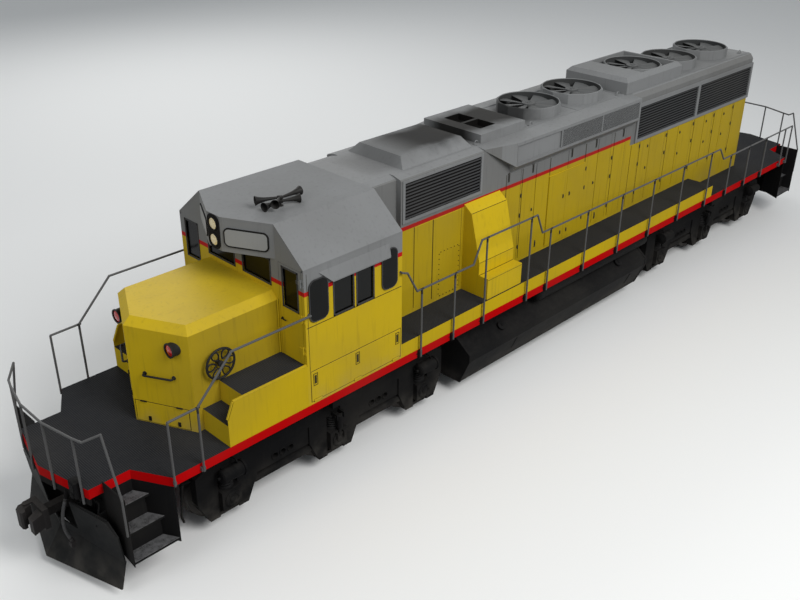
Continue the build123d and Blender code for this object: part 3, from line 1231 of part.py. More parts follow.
def hose_end(share):
    """Point beyond the first or along the last run of the brake hose; share counts runs."""
    (x0, y0, z0), (x1, y1, z1) = HOSE_ROUTE[-2:] if share > 0 else (HOSE_ROUTE[1], HOSE_ROUTE[0])
    share = abs(share)
    return (x1 + share * (x1 - x0), y1 + share * (y1 - y0), z1 + share * (z1 - z0))


def hose_cock():
    """Pipe end on the front lip that the brake hose hangs from."""
    return rod(hose_end(-0.85), HOSE_ROUTE[0], HOSE_RADIUS + 10)


def brake_hose():
    """Brake hose as straight runs joined by tangent arcs."""
    points = [Vector(*p) for p in HOSE_ROUTE]
    runs = [b - a for a, b in zip(points, points[1:])]
    radii = []
    for before, after in zip(runs, runs[1:]):
        half_turn = radians(before.get_angle(after)) / 2
        radii.append(0.45 * min(before.length, after.length) / tan(half_turn))
    print("hose radii", [round(radius) for radius in radii])
    path = FilletPolyline(*HOSE_ROUTE, radius=radii)
    section = Plane(origin=points[0], z_dir=runs[0]) * Circle(HOSE_RADIUS)
    hose = sweep(section, path=path)
    print("hose volume", hose.volume, "section times length", pi * HOSE_RADIUS ** 2 * path.length)
    return hose


def hose_coupling():
    """Cast coupling on the hose's free end."""
    start, end = HOSE_ROUTE[-1], hose_end(0.45)
    x, y, z = end
    head = block((x - 20, x + 45), (y - 38, y + 38), (z - 60, z + 15))
    return rod(start, end, HOSE_RADIUS + 8) + head


# ---------------------------------------------------------------- all pieces
def all_parts():
    """Every piece by name."""
    parts = {
        "main_frame": main_frame(),
        "snowplow": snowplow(),
        "steps_front": steps(),
        "steps_rear": other_end(steps()),
        "coupler_front": coupler(),
        "coupler_rear": Rot(0, 0, 180) * coupler(),
        "knuckle_front": knuckle(),
        "knuckle_rear": Rot(0, 0, 180) * knuckle(),
        "truck_frame_front": truck_frame(),
        "truck_frame_rear": other_end(truck_frame()),
        "axle_boxes_front": axle_boxes(),
        "axle_boxes_rear": other_end(axle_boxes()),
        "traction_motors_front": traction_motors(),
        "traction_motors_rear": other_end(traction_motors()),
        "fuel_tank": fuel_tank(),
        "reservoir_left": reservoir(),
        "reservoir_right": other_side(reservoir()),
        "walkway_left": walkway(True),
        "walkway_right": other_side(walkway(False)),
        "nose": nose(),
        "cab_floor": cab_floor(),
        "cab_side_left": cab_side(),
        "cab_side_right": other_side(cab_side()),
        "cab_front": cab_front(),
        "cab_rear": cab_rear(),
        "cab_roof": cab_roof(),
        "cab_glass": cab_glass(),
        "cab_door_front": cab_door(CAB_FRONT_X, 1, 1),
        "cab_door_rear": cab_door(CAB_REAR_X, -1, -1),
        "cab_interior": cab_interior(),
        "filter_hood": filter_hood(),
        "engine_hood": engine_hood(),
        "radiator_hood": radiator_hood(),
        "roof_hatches": roof_hatches(),
        "blower_duct": blower_duct(),
        "engine_block": engine_block(),
        "handrail_left": side_rails(),
        "handrail_right": other_side(side_rails()),
        "handrail_front": end_rails(),
        "handrail_rear": other_end(end_rails()),
        "horn": horn(),
        "brake_wheel": brake_wheel(),
        "brake_hose": brake_hose(),
        "hose_coupling": hose_coupling(),
    }
    for number, name in enumerate(AXLE_OFFSETS, start=1):
        parts[f"wheelset_{number}"] = wheelset(name)
        parts[f"wheelset_{7 - number}"] = other_end(wheelset(name))
    for number, x in enumerate(BRAKE_FANS_X + RADIATOR_FANS_X, start=1):
        parts[f"roof_fan_{number}"] = fan(x)
    for side_name, side in (("left", 1), ("right", -1)):
        for number, (hinge_x, toward) in enumerate(hood_door_hinges(), start=1):
            parts[f"hood_door_{side_name}_{number}"] = hood_door(hinge_x, toward, side)
    return parts


os.makedirs("parts", exist_ok=True)
for part_name, shape in all_parts().items():
    export_step(shape, f"parts/{part_name}.step")
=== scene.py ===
# %% [markdown]
# # A six-axle diesel locomotive, finished in Blender
# The construction is already in the file as rigid solids, one for each named piece, all in metres
# and in one frame: +X to the nose, +Y to the left side, +Z up. These cells give every solid its
# paint or casting finish, and add what is too thin or too fine for the solids: louvre slats, mesh,
# door seams, latches, hinges, springs, lamps, pipes and hoses.

# %% Load the frame
import math

import bpy
import numpy as np
from mathutils import Matrix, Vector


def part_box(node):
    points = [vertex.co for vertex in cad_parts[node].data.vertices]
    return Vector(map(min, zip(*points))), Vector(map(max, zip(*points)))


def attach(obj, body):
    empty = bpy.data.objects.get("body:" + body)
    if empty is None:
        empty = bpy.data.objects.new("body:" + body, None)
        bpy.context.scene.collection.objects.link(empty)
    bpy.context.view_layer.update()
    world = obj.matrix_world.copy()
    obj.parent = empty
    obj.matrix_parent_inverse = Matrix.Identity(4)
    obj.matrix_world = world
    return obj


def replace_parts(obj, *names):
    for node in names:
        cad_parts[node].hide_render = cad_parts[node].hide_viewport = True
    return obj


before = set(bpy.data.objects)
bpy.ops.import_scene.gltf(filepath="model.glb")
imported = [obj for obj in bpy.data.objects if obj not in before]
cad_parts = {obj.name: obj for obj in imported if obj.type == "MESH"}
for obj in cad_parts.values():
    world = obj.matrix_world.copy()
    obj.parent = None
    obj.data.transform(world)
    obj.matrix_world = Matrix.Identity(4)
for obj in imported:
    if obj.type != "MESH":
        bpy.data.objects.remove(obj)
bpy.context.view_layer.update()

# %% [markdown]
# ## Shapes as arrays
# Every new piece is worked out as arrays of points. A shape is a pair: its points, and its faces as
# tuples of point numbers. Small shapes are merged into one piece, so a hundred slats cost one object.
# Rings of points along a path make bars, tubes and turned parts, and the two end rings are closed by
# one face each.

# %% Shape helpers
AHEAD, ASTERN, OUT, UP = (1, 0, 0), (-1, 0, 0), (0, 1, 0), (0, 0, 1)


def ring_shape(rings, close_ends=True):
    """Skin over rings: point j of ring i is joined to point j + 1 of ring i and of ring i + 1."""
    rings = np.asarray(rings, dtype=float)
    count, sides, _ = rings.shape
    i, j = np.meshgrid(np.arange(count - 1), np.arange(sides), indexing="ij")
    k = (j + 1) % sides
    quads = np.stack([i * sides + j, i * sides + k, (i + 1) * sides + k, (i + 1) * sides + j], -1)
    faces = [tuple(face) for face in quads.reshape(-1, 4).tolist()]
    if close_ends:
        faces.append(tuple(range(sides - 1, -1, -1)))
        faces.append(tuple(range((count - 1) * sides, count * sides)))
    return rings.reshape(-1, 3), faces


def grid_shape(points):
    """Open sheet over a grid: each cell of the rows and columns becomes one face."""
    points = np.asarray(points, dtype=float)
    rows, columns, _ = points.shape
    i, j = np.meshgrid(np.arange(rows - 1), np.arange(columns - 1), indexing="ij")
    start = i * columns + j
    quads = np.stack([start, start + 1, start + columns + 1, start + columns], -1)
    return points.reshape(-1, 3), [tuple(face) for face in quads.reshape(-1, 4).tolist()]


def merge(shapes):
    """One shape from many, with the point numbers of each moved past those before it."""
    points, faces, start = [], [], 0
    for shape_points, shape_faces in shapes:
        points.append(shape_points)
        faces += [tuple(start + index for index in face) for face in shape_faces]
        start += len(shape_points)
    return np.concatenate(points), faces


def inside_out(shape):
    """The same shape with its faces turned to point the other way."""
    return shape[0], [tuple(reversed(face)) for face in shape[1]]


def mirrored(shape, axis=1):
    """The same shape across the plane where the axis is zero, with its faces turned to point out."""
    flipped = shape[0].copy()
    flipped[:, axis] *= -1
    return inside_out((flipped, shape[1]))


def both_sides(shapes):
    """Shapes on the left with their copies on the right."""
    return list(shapes) + [mirrored(shape) for shape in shapes]


def turned_round(shapes):
    """Copies of shapes at the other end, turned half round about the upright axis."""
    return [mirrored(mirrored(shape, 0), 1) for shape in shapes]


def both_ends(shapes):
    """Shapes at the front with their copies at the rear, turned half round."""
    return list(shapes) + turned_round(shapes)


def gather(make, places):
    """All the shapes that a function makes at several places, in one list."""
    return [shape for place in places for shape in make(place)]


def moved(shape, offset):
    """The shape shifted by an offset."""
    return shape[0] + np.asarray(offset, dtype=float), shape[1]


def unit(vector):
    """Vector of length one."""
    vector = np.asarray(vector, dtype=float)
    return vector / np.linalg.norm(vector)


def cross_axes(direction, up=UP):
    """Two unit vectors square to a direction, the second as near to up as it can be."""
    direction = unit(direction)
    side = np.cross(up, direction)
    if np.linalg.norm(side) < 1e-6:
        side = np.cross(AHEAD, direction)
    side = unit(side)
    return side, np.cross(direction, side)


def bar(start, end, width, height, up=UP, edge=0.15):
    """Straight bar with cut edges: an eight-point outline from start to end, drawn in at both."""
    start, end = np.asarray(start, float), np.asarray(end, float)
    side, top = cross_axes(end - start, up)
    cut = edge * min(width, height)
    a, b = width / 2, height / 2
    outline = np.array([(a, -b + cut), (a, b - cut), (a - cut, b), (-a + cut, b),
                        (-a, b - cut), (-a, -b + cut), (-a + cut, -b), (a - cut, -b)])
    inset = min(cut, np.linalg.norm(end - start) / 4)
    shrink = np.array([1 - 2 * inset / width, 1 - 2 * inset / height])
    forward = unit(end - start)
    stations = ((start, shrink), (start + inset * forward, 1), (end - inset * forward, 1), (end, shrink))
    return ring_shape([place + (outline * scale)[:, :1] * side + (outline * scale)[:, 1:] * top
                       for place, scale in stations])


def slab(low, high, edge=0.1):
    """Cut-edged block between two corners, as a bar along its longest side."""
    low, high = np.asarray(low, float), np.asarray(high, float)
    size = high - low
    axis = int(np.argmax(size))
    start, end = (low + high) / 2, (low + high) / 2
    start[axis], end[axis] = low[axis], high[axis]
    up_axis = 1 if axis == 2 else 2
    up = np.eye(3)[up_axis]
    side_axis = 3 - axis - up_axis
    return bar(start, end, size[side_axis], size[up_axis], up, edge)


def pad(x, z, width, height, y0, y1, edge=0.1):
    """Block on a side wall: centred on an X and a height, from one Y out to another."""
    return slab((x - width / 2, y0, z - height / 2), (x + width / 2, y1, z + height / 2), edge)


def path_frames(points):
    """Two unit vectors square to a path at each of its points, carried along it without twist."""
    along = np.gradient(points, axis=0)
    along /= np.linalg.norm(along, axis=1)[:, None]
    side, _ = cross_axes(along[0])
    sides = []
    for direction in along:
        side = unit(side - direction * np.dot(side, direction))
        sides.append(side)
    sides = np.array(sides)
    return sides, np.cross(along, sides)


def tube(points, radius, sides=10):
    """Round tube along a path: a circle of the radius in the plane square to the path at each point."""
    points = np.asarray(points, float)
    side, top = path_frames(points)
    radius = np.broadcast_to(np.asarray(radius, float), (len(points),))
    turn = np.linspace(0, 2 * math.pi, sides, endpoint=False)
    rings = points[:, None] + radius[:, None, None] * (
        np.cos(turn)[None, :, None] * side[:, None] + np.sin(turn)[None, :, None] * top[:, None])
    return ring_shape(rings)


def rounded(points, radius, steps=4):
    """Path through the points with each corner replaced by a curve that starts the radius before it."""
    points = np.asarray(points, float)
    path = [points[0]]
    for before, corner, after in zip(points, points[1:], points[2:]):
        reach = min(radius, np.linalg.norm(corner - before) / 2, np.linalg.norm(after - corner) / 2)
        start, end = corner + reach * unit(before - corner), corner + reach * unit(after - corner)
        share = np.linspace(0, 1, steps + 1)[:, None]
        path += list((1 - share) ** 2 * start + 2 * share * (1 - share) * corner + share ** 2 * end)
    path.append(points[-1])
    return np.array(path)


def turned(profile, base, axis, sides=24, ring=False):
    """Turned part: (radius, height) pairs swept round an axis; a ring's profile ends where it starts."""
    side, top = cross_axes(axis, UP if abs(unit(axis)[2]) < 0.9 else AHEAD)
    turn = np.linspace(0, 2 * math.pi, sides, endpoint=False)
    circle = np.cos(turn)[:, None] * side + np.sin(turn)[:, None] * top
    rings = [np.asarray(base, float) + height * unit(axis) + max(radius, 1e-4) * circle
             for radius, height in profile]
    return ring_shape(rings, close_ends=not ring)


def coil(base, radius, wire, height, turns, sides=8, steps=14):
    """Coil spring: a tube along a helix of the radius that climbs the height in the number of turns."""
    share = np.linspace(0, 1, int(turns * steps) + 1)
    angle = 2 * math.pi * turns * share
    path = np.stack([radius * np.cos(angle), radius * np.sin(angle), height * share], -1)
    return tube(path + np.asarray(base, float), wire / 2, sides)


def plate(outline, normal_axis, level, thickness):
    """Flat plate: an outline in the two other axes, given a thickness along the normal axis."""
    outline = np.asarray(outline, float)
    others = [axis for axis in range(3) if axis != normal_axis]
    rings = np.zeros((2, len(outline), 3))
    rings[:, :, others[0]] = outline[:, 0]
    rings[:, :, others[1]] = outline[:, 1]
    rings[0, :, normal_axis] = level
    rings[1, :, normal_axis] = level + thickness
    shape = ring_shape(rings)
    area = np.sum(outline[:, 0] * np.roll(outline[:, 1], -1) - np.roll(outline[:, 0],
                                                                       -1) * outline[:, 1])
    return inside_out(shape) if (area * thickness > 0) == (normal_axis == 1) else shape


def rounded_outline(width, height, radius, steps=4):
    """Outline of a rectangle with round corners, centred on zero."""
    quarter = np.linspace(0, math.pi / 2, steps + 1)
    points = []
    for turn, (a, b) in enumerate(((1, 1), (-1, 1), (-1, -1), (1, -1))):
        angle = quarter + turn * math.pi / 2
        points += list(np.stack([a * (width / 2 - radius) + radius * np.cos(angle),
                                 b * (height / 2 - radius) + radius * np.sin(angle)], -1))
    return np.array(points)


def linked(name, data):
    """New object that shows the data, linked to the scene."""
    thing = bpy.data.objects.new(name, data)
    bpy.context.scene.collection.objects.link(thing)
    return thing


def put(name, shapes, material, body="locomotive", smooth_angle=40):
    """Make a piece from shapes, give it its material and let it ride on its body."""
    points, faces = merge(shapes)
    mesh = bpy.data.meshes.new(name)
    mesh.from_pydata(points.tolist(), [], faces)
    mesh.update()
    piece = linked(name, mesh)
    mesh.materials.append(material)
    mesh.shade_smooth()
    mesh.set_sharp_from_angle(angle=math.radians(smooth_angle))
    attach(piece, body)
    print(name, len(points), "points,", len(faces), "faces")
    return piece


# %% [markdown]
# ## Paint, castings, glass and rubber
# A locomotive is sprayed with gloss enamel over thick steel sheet. Years outdoors turn it half matt,
# leave pale dust on what faces up, streaks under every ledge, and brake dust on the running gear.
# Each finish is one colour under layers of noise. Coordinates are in metres, so noise whose lumps have
# a real size takes one over that size as its scale.

# %% Colours and nodes
MIX = {"data_type": "RGBA"}
SMOOTH = {"interpolation_type": "SMOOTHSTEP"}


def linear(code):
    """sRGB hex code as linear red, green and blue, with alpha 1."""
    values = [int(code[i:i + 2], 16) / 255 for i in (0, 2, 4)]
    return tuple(v / 12.92 if v <= 0.04045 else ((v + 0.055) / 1.055) ** 2.4 for v in values) + (1.0,)


def fill(node, sockets):
    """Fill sockets by name or number: another node's socket is linked, a hex code becomes a colour."""
    for key, value in sockets.items():
        if isinstance(value, bpy.types.NodeSocket):
            node.id_data.links.new(value, node.inputs[key])
        else:
            node.inputs[key].default_value = linear(value) if isinstance(value, str) else value


def add(tree, kind, sockets=(), out=0, **settings):
    """Add a node with its settings, fill its sockets, and return an output, or all where out is None."""
    node = tree.nodes.new("ShaderNode" + kind)
    for name, value in settings.items():
        setattr(node, name, value)
    fill(node, sockets if isinstance(sockets, dict) else dict(enumerate(sockets)))
    return node.outputs if out is None else node.outputs[out]


def start_material(name):
    """Material with an empty node tree but its surface shader, and the object's coordinates."""
    material = bpy.data.materials.new(name)
    material.use_nodes = True
    tree = material.node_tree
    return material, tree, tree.nodes["Principled BSDF"], add(tree, "TexCoord", out="Object")


def facing(tree, axis):
    """How far the surface faces along an axis: that part of its unit normal."""
    return add(tree, "SeparateXYZ", [add(tree, "NewGeometry", out="Normal")], axis)


# %% Weather
DUST, FADED, STREAK = "7f7a72", "4a4742", "2c2a27"
SPLASH = 0.22       # how much of the dust colour splashes leave


def weather(shader, place, colour, dust=0.35, streaks=0.25, rough=(0.42, 0.66), bump=0.0006,
            splash_zone=None, relief=0.05, shine=0.35):
    """Layers over a base colour: fading, streaks, dust on top faces, splashes low down, and roughness.

    Fading comes in patches 1.6 m across and dust in lumps of 90 mm. Streaks 50 mm wide are 14 times
    as long.
    """
    tree = shader.id_data
    fade = add(tree, "TexNoise", {0: place, 2: 1 / 1.6, 3: 4})
    fine = add(tree, "TexNoise", {0: place, 2: 1 / 0.09, 3: 6})
    long_rain = add(tree, "Mapping", {0: place, 3: (20, 20, 20 / 14)})
    rain = add(tree, "TexNoise", {0: long_rain, 2: 1, 3: 3})
    toned = add(tree, "Mix", {0: add(tree, "MapRange", (fade, 0.35, 0.75, 0, 0.18), **SMOOTH),
                              6: colour, 7: FADED}, 2, **MIX)
    marks = add(tree, "MapRange", (rain, 0.52, 0.78, 0, streaks), **SMOOTH)
    streaked = add(tree, "Mix", {0: marks, 6: toned, 7: STREAK}, 2, **MIX)
    dusty = add(tree, "Math", (add(tree, "MapRange", (facing(tree, 2), 0.3, 0.95), **SMOOTH),
                               add(tree, "MapRange", (fine, 0.25, 0.8, 0, dust), **SMOOTH)),
                operation="MULTIPLY")
    if splash_zone:
        height = add(tree, "SeparateXYZ", [place], 2)
        low = add(tree, "MapRange", (height, *splash_zone, 1, 0), **SMOOTH)
        patches = add(tree, "TexNoise", {0: place, 2: 1 / 0.3, 3: 5})
        splash = add(tree, "Math",
                     (low, add(tree, "MapRange", (patches, 0.3, 0.75, 0, SPLASH), **SMOOTH)),
                     operation="MULTIPLY")
        dusty = add(tree, "Math", (dusty, splash), operation="MAXIMUM")
    matt = add(tree, "Math", (fine, 0.6, add(tree, "Math", (dusty, 0.8), operation="MULTIPLY")),
               operation="MULTIPLY_ADD")
    lumps = add(tree, "Math", (add(tree, "TexNoise", {0: place, 2: 1 / 0.7, 3: 2}), 4,
                               add(tree, "TexNoise", {0: place, 2: 1 / relief, 3: 5})),
                operation="MULTIPLY_ADD")
    fill(shader, {"Base Color": add(tree, "Mix", {0: dusty, 6: streaked, 7: DUST}, 2, **MIX),
                  "Roughness": add(tree, "MapRange", {0: matt, 3: rough[0], 4: rough[1]}),
                  "Normal": add(tree, "Bump", {"Strength": 0.35, "Distance": bump, "Height": lumps}),
                  "Specular IOR Level": shine})


def painted(name, colour, **layers):
    """Sprayed enamel in one colour under the weather."""
    material, tree, shader, place = start_material(name)
    weather(shader, place, colour, **layers)
    return material


# %% [markdown]
# ### The body colours
# The hoods and the cab are yellow up to the window line and grey above it, with a thin red line
# between. On the radiator hood the grey starts lower, at the foot of its grilles, and has no line.
# The zones follow height and length in the part's own coordinates, so a seam never drifts.

# %% Body colours
YELLOW, GREY, RED, BLACK, DECK = "c8aa17", "7f8080", "bd0509", "131314", "232427"
LINE_Z = (3.478, 3.548)
RADIATOR_FRONT_X, RADIATOR_GREY_Z = -2.55, 3.345
ROOF_Z = 4.38
CAB_INSIDE = ((4.700, 6.600), (-1.460, 1.460), (2.300, 3.850))
# The first colour lines the cab and is kept dark as painted shade inside it.
# The third colour is painted shade for the hood and nose sides, which stand back behind the walkways.
CAB_LINING_SHADE, SOOT, SIDE_SHADE = "2f3431", "111111", "2e2710"


def livery(tree, place):
    """Yellow, red line and grey by height; the radiator hood's grey starts lower and has no line."""
    x, _, z = add(tree, "SeparateXYZ", [place], None)
    behind = add(tree, "Math", (x, RADIATOR_FRONT_X), operation="LESS_THAN")
    lifted = add(tree, "Math", (behind, LINE_Z[0] - RADIATOR_GREY_Z, z), operation="MULTIPLY_ADD")
    above, over_line = [add(tree, "Math", (lifted, level), operation="GREATER_THAN") for level in LINE_Z]
    no_line = add(tree, "Math", (over_line, behind), operation="MAXIMUM")
    upper = add(tree, "Mix", {0: no_line, 6: RED, 7: GREY}, 2, **MIX)
    return add(tree, "Mix", {0: above, 6: YELLOW, 7: upper}, 2, **MIX)


def soot(tree, place, colour):
    """Exhaust soot on the roof: full by the stacks, thinning along the centreline and to the sides."""
    x, y, z = add(tree, "SeparateXYZ", [place], None)
    cloud = add(tree, "TexNoise", {0: place, 2: 1 / 0.5, 3: 5})
    wander = add(tree, "Math", (cloud, 0.45, -0.225), operation="MULTIPLY_ADD")
    off_line = add(tree, "Math", (add(tree, "Math", [y], operation="ABSOLUTE"), wander), operation="ADD")
    blown = add(tree, "MapRange", (x, 2.9, 4.0, 1, 0), **SMOOTH)
    faint = add(tree, "MapRange", (x, 4.1, 5.0, 0.3, -0.7), **SMOOTH)
    share = 0.95
    for part in (add(tree, "MapRange", (off_line, 0.26, 0.66, 1, 0), **SMOOTH),
                 add(tree, "Math", (blown, faint), operation="MAXIMUM"),
                 add(tree, "MapRange", (x, -1.3, 1.0), **SMOOTH),
                 add(tree, "Math", (z, ROOF_Z), operation="GREATER_THAN")):
        share = add(tree, "Math", (share, part), operation="MULTIPLY", use_clamp=True)
    return add(tree, "Mix", {0: share, 6: colour, 7: SOOT}, 2, **MIX)


def lining_and_shade(tree, place, colour):
    """Dark green-grey lining wherever the surface lies inside the cab's walls, kept dark to paint the
    shade in the cab.
    """
    inside = 1.0
    for part, (low, high) in zip(add(tree, "SeparateXYZ", [place], None), CAB_INSIDE):
        for operation, level in (("GREATER_THAN", low), ("LESS_THAN", high)):
            within = add(tree, "Math", (part, level), operation=operation)
            inside = add(tree, "Math", (within, inside), operation="MULTIPLY")
    return add(tree, "Mix", {0: inside, 6: colour, 7: CAB_LINING_SHADE}, 2, **MIX)


def painted_side_shade(tree, place, colour):
    """Painted shade: brown-black over the upright sides of the hoods and nose, which stand back behind
    the walkways.
    """
    share = 0.26
    for value, operation, level in ((facing(tree, 1), "GREATER_THAN", 0.7),
                                    (add(tree, "SeparateXYZ", [place], 1), "LESS_THAN", 0.95)):
        size = add(tree, "Math", [value], operation="ABSOLUTE")
        share = add(tree, "Math", (add(tree, "Math", (size, level), operation=operation), share),
                    operation="MULTIPLY")
    return add(tree, "Mix", {0: share, 6: colour, 7: SIDE_SHADE}, 2, **MIX)


def body_enamel():
    """Gloss enamel of the hoods and cab in its three colours, with soot, painted shade on the set-back
    sides, and the cab's dark lining, which also paints the shade inside it.
    """
    material, tree, shader, place = start_material("sprayed_body_enamel")
    colour = livery(tree, place)
    for layer in (soot, painted_side_shade, lining_and_shade):
        colour = layer(tree, place, colour)
    weather(shader, place, colour, dust=0.03, streaks=0.16, shine=0.12, splash_zone=(1.64, 2.05))
    return material


def roof_enamel():
    """Grey enamel of the roofs and hatches, sooted round the exhaust."""
    material, tree, shader, place = start_material("grey_roof_enamel")
    weather(shader, place, soot(tree, place, GREY), dust=0.03, streaks=0.12, rough=(0.5, 0.75),
            shine=0.05)
    return material


# %% Deck and walkways
TREAD_PITCH = 0.060
SILL_BOTTOM_Z, DECK_Z = 1.508, 1.65


def tread_pattern(tree, shader, place):
    """Non-slip deck: a bump of raised lozenges, two crossed waves 60 mm apart, on top faces only.

    The real lozenges are about half as far apart. They are drawn coarser, so that they show.
    """
    x, y, _ = add(tree, "SeparateXYZ", [place], None)
    waves = []
    for operation in ("ADD", "SUBTRACT"):
        turns = add(tree, "Math",
                    (add(tree, "Math", (x, y), operation=operation), 2 * math.pi / TREAD_PITCH),
                    operation="MULTIPLY")
        waves.append(add(tree, "Math", [turns], operation="SINE"))
    lozenge = add(tree, "MapRange", (add(tree, "Math", waves, operation="MULTIPLY"), 0.15, 0.7),
                  **SMOOTH)
    top = add(tree, "Math", (facing(tree, 2), 0.5), operation="GREATER_THAN")
    height = add(tree, "Math", (lozenge, top), operation="MULTIPLY")
    fine, base = (shader.inputs[name].links[0].from_socket for name in ("Normal", "Base Color"))
    worn = add(tree, "Math", (height, 0.3), operation="MULTIPLY")
    fill(shader, {"Normal": add(tree, "Bump",
                                {"Strength": 0.8, "Distance": 0.004, "Height": height, "Normal": fine}),
                  "Base Color": add(tree, "Mix", {0: worn, 6: base, 7: "5a5a59"}, 2, **MIX)})


def deck_enamel(name, sides, level, shine, rough):
    """Dark non-slip deck on the faces that look up from above a level, over sides of another colour."""
    material, tree, shader, place = start_material(name)
    height = add(tree, "SeparateXYZ", [place], 2)
    if len(sides) == 2:
        sill = add(tree, "Math", (height, SILL_BOTTOM_Z), operation="GREATER_THAN")
        side = add(tree, "Mix", {0: sill, 6: sides[0], 7: sides[1]}, 2, **MIX)
    else:
        side = sides[0]
    top = add(tree, "Math", (facing(tree, 2), 0.5), operation="GREATER_THAN")
    deck = add(tree, "Math", (top, add(tree, "Math", (height, level), operation="GREATER_THAN")),
               operation="MULTIPLY")
    colour = add(tree, "Mix", {0: deck, 6: side, 7: DECK}, 2, **MIX)
    weather(shader, place, colour, dust=0.02, streaks=0.10, rough=rough, shine=shine)
    tread_pattern(tree, shader, place)
    return material


# %% Painted finishes
# Sprayed enamel is even in hue, so its age shows in its roughness and dust alone. The matt black
# hides its own edges, the rough castings scatter what light they get, and the rails, handled every
# day, keep a little shine.
body_paint = body_enamel()
frame_paint = deck_enamel("underframe_enamel", (BLACK, RED), DECK_Z, 0.02, (0.6, 0.85))
walkway_paint = deck_enamel("walkway_enamel", (YELLOW,), 0.0, 0.05, (0.55, 0.8))
yellow_paint = painted("yellow_enamel", YELLOW, dust=0.03, streaks=0.16, shine=0.12,
                       splash_zone=(1.64, 2.05))
grey_paint = roof_enamel()
black_paint = painted("black_enamel", "151516", dust=0.03, streaks=0.1, shine=0.12)
dark_paint = painted("matt_black_enamel", "151516", dust=0.03, rough=(0.6, 0.85), shine=0.04)
rail_paint = painted("grey_rail_enamel", "505050", dust=0.04, streaks=0.1, shine=0.2)
plow_paint = painted("worn_plow_enamel", "191a1b", dust=0.04, rough=(0.5, 0.8), shine=0.06,
                     splash_zone=(0.1, 0.7))
truck_paint = painted("painted_steel_casting", "131314", dust=0.05, streaks=0.1, rough=(0.65, 0.9),
                      bump=0.002, relief=0.02, splash_zone=(0.2, 0.9), shine=0.03)
tank_paint = painted("tank_enamel", "121213", dust=0.03, streaks=0.12, rough=(0.5, 0.8),
                     splash_zone=(0.2, 0.7), shine=0.04)
iron = painted("rusted_iron_casting", "1d1b1b", dust=0.08, shine=0.2, rough=(0.6, 0.9), bump=0.002,
               relief=0.02)
fan_paint = painted("grey_fan_enamel", "565757", dust=0.05, streaks=0.05, shine=0.05)
seat_vinyl = painted("seat_vinyl", "2a2b2d", dust=0.1, streaks=0.0, rough=(0.4, 0.6), relief=0.004)


# %% Steel, glass and rubber
def wheel_steel():
    """Rolled wheel: brown-black steel, a little metallic, and dusty all over."""
    material, tree, shader, place = start_material("rolled_wheel_steel")
    weather(shader, place, "2e2a27", dust=0.12, streaks=0.0, rough=(0.35, 0.8), relief=0.02)
    fill(shader, {"Metallic": 0.4})
    return material


def mottled(name, size, detail, rise, colours, sockets):
    """Moulded material in two close colours in lumps of a size, and the shader's other sockets."""
    material, tree, shader, place = start_material(name)
    lumps = add(tree, "TexNoise", {0: place, 2: 1 / size, 3: detail})
    share = add(tree, "MapRange", (lumps, *rise), **SMOOTH)
    fill(shader, {"Base Color": add(tree, "Mix", {0: share, 6: colours[0], 7: colours[1]}, 2, **MIX),
                  **sockets})
    return material


def tinted_glass(name, transmission):
    """Safety glass with a dark tint: smooth, with light dust in patches 0.2 m across."""
    material, tree, shader, place = start_material(name)
    haze = add(tree, "TexNoise", {0: place, 2: 1 / 0.2, 3: 4})
    share = add(tree, "MapRange", (haze, 0.4, 0.9), **SMOOTH)
    fill(shader, {"Base Color": add(tree, "Mix", {0: share, 6: "040505", 7: "0b0c0d"}, 2, **MIX),
                  "Roughness": add(tree, "MapRange", {0: haze, 3: 0.12, 4: 0.3}),
                  "Transmission Weight": transmission, "IOR": 1.5, "Specular IOR Level": 0.12})
    return material


# Tinted glass looks nearly black by day, and rubber is dull because it is rough, not because it is dark.
wheel_finish = wheel_steel()
glass = tinted_glass("tinted_safety_glass", 0.12)
rubber_black = mottled("moulded_rubber", 0.03, 4, (0.4, 0.8), ("1d1d1e", "353536"),
                       {"Roughness": 0.75})
print("materials", len(bpy.data.materials))

# %% [markdown]
# ## The solids get their finish
# Each named solid takes one finish. The solids are not moved or reshaped.

# %% Dress the solids
FINISHES = (
    (frame_paint, "main_frame"),
    (plow_paint, "snowplow"),
    (dark_paint, "steps_front steps_rear cab_floor engine_block"),
    (walkway_paint, "walkway_left walkway_right"),
    (body_paint, "nose cab_side_left cab_side_right cab_front cab_rear cab_door_front cab_door_rear "
                 "filter_hood engine_hood radiator_hood "
                 "hood_door_left_1 hood_door_left_2 hood_door_right_1 hood_door_right_2"),
    (yellow_paint, "blower_duct"),
    (grey_paint, "cab_roof roof_hatches"),
    (truck_paint, "truck_frame_front truck_frame_rear axle_boxes_front axle_boxes_rear "
                  "traction_motors_front traction_motors_rear"),
    (iron, "coupler_front coupler_rear knuckle_front knuckle_rear hose_coupling"),
    (wheel_finish, "wheelset_1 wheelset_2 wheelset_3 wheelset_4 wheelset_5 wheelset_6"),
    (fan_paint, "roof_fan_1 roof_fan_2 roof_fan_3 roof_fan_4 roof_fan_5"),
    (tank_paint, "fuel_tank reservoir_left reservoir_right"),
    (seat_vinyl, "cab_interior"),
    (glass, "cab_glass"),
    (rail_paint, "handrail_left handrail_right handrail_front handrail_rear"),
    (black_paint, "brake_wheel horn"),
    (rubber_black, "brake_hose"),
)
for finish, nodes in FINISHES:
    for name in nodes.split():
        solid = bpy.data.objects[name]
        if solid.material_slots:
            for slot in solid.material_slots:
                slot.material = finish
        else:
            solid.data.materials.append(finish)
print("dressed", sum(len(nodes.split()) for _, nodes in FINISHES), "solids")

# %% [markdown]
# ## Louvres and mesh
# Air enters the hoods through banks of sloping slats in a light frame, with a dark space behind them.
# A slat could be a texture, but its edge catches light, so each is a thin bar tilted to shed rain, and a
# bank is one row of them at an even pitch. The mesh on the flared part is woven wire: two sets of
# thin wires laid on the slant. The real mesh is finer; it is drawn 42 mm apart so that it shows.

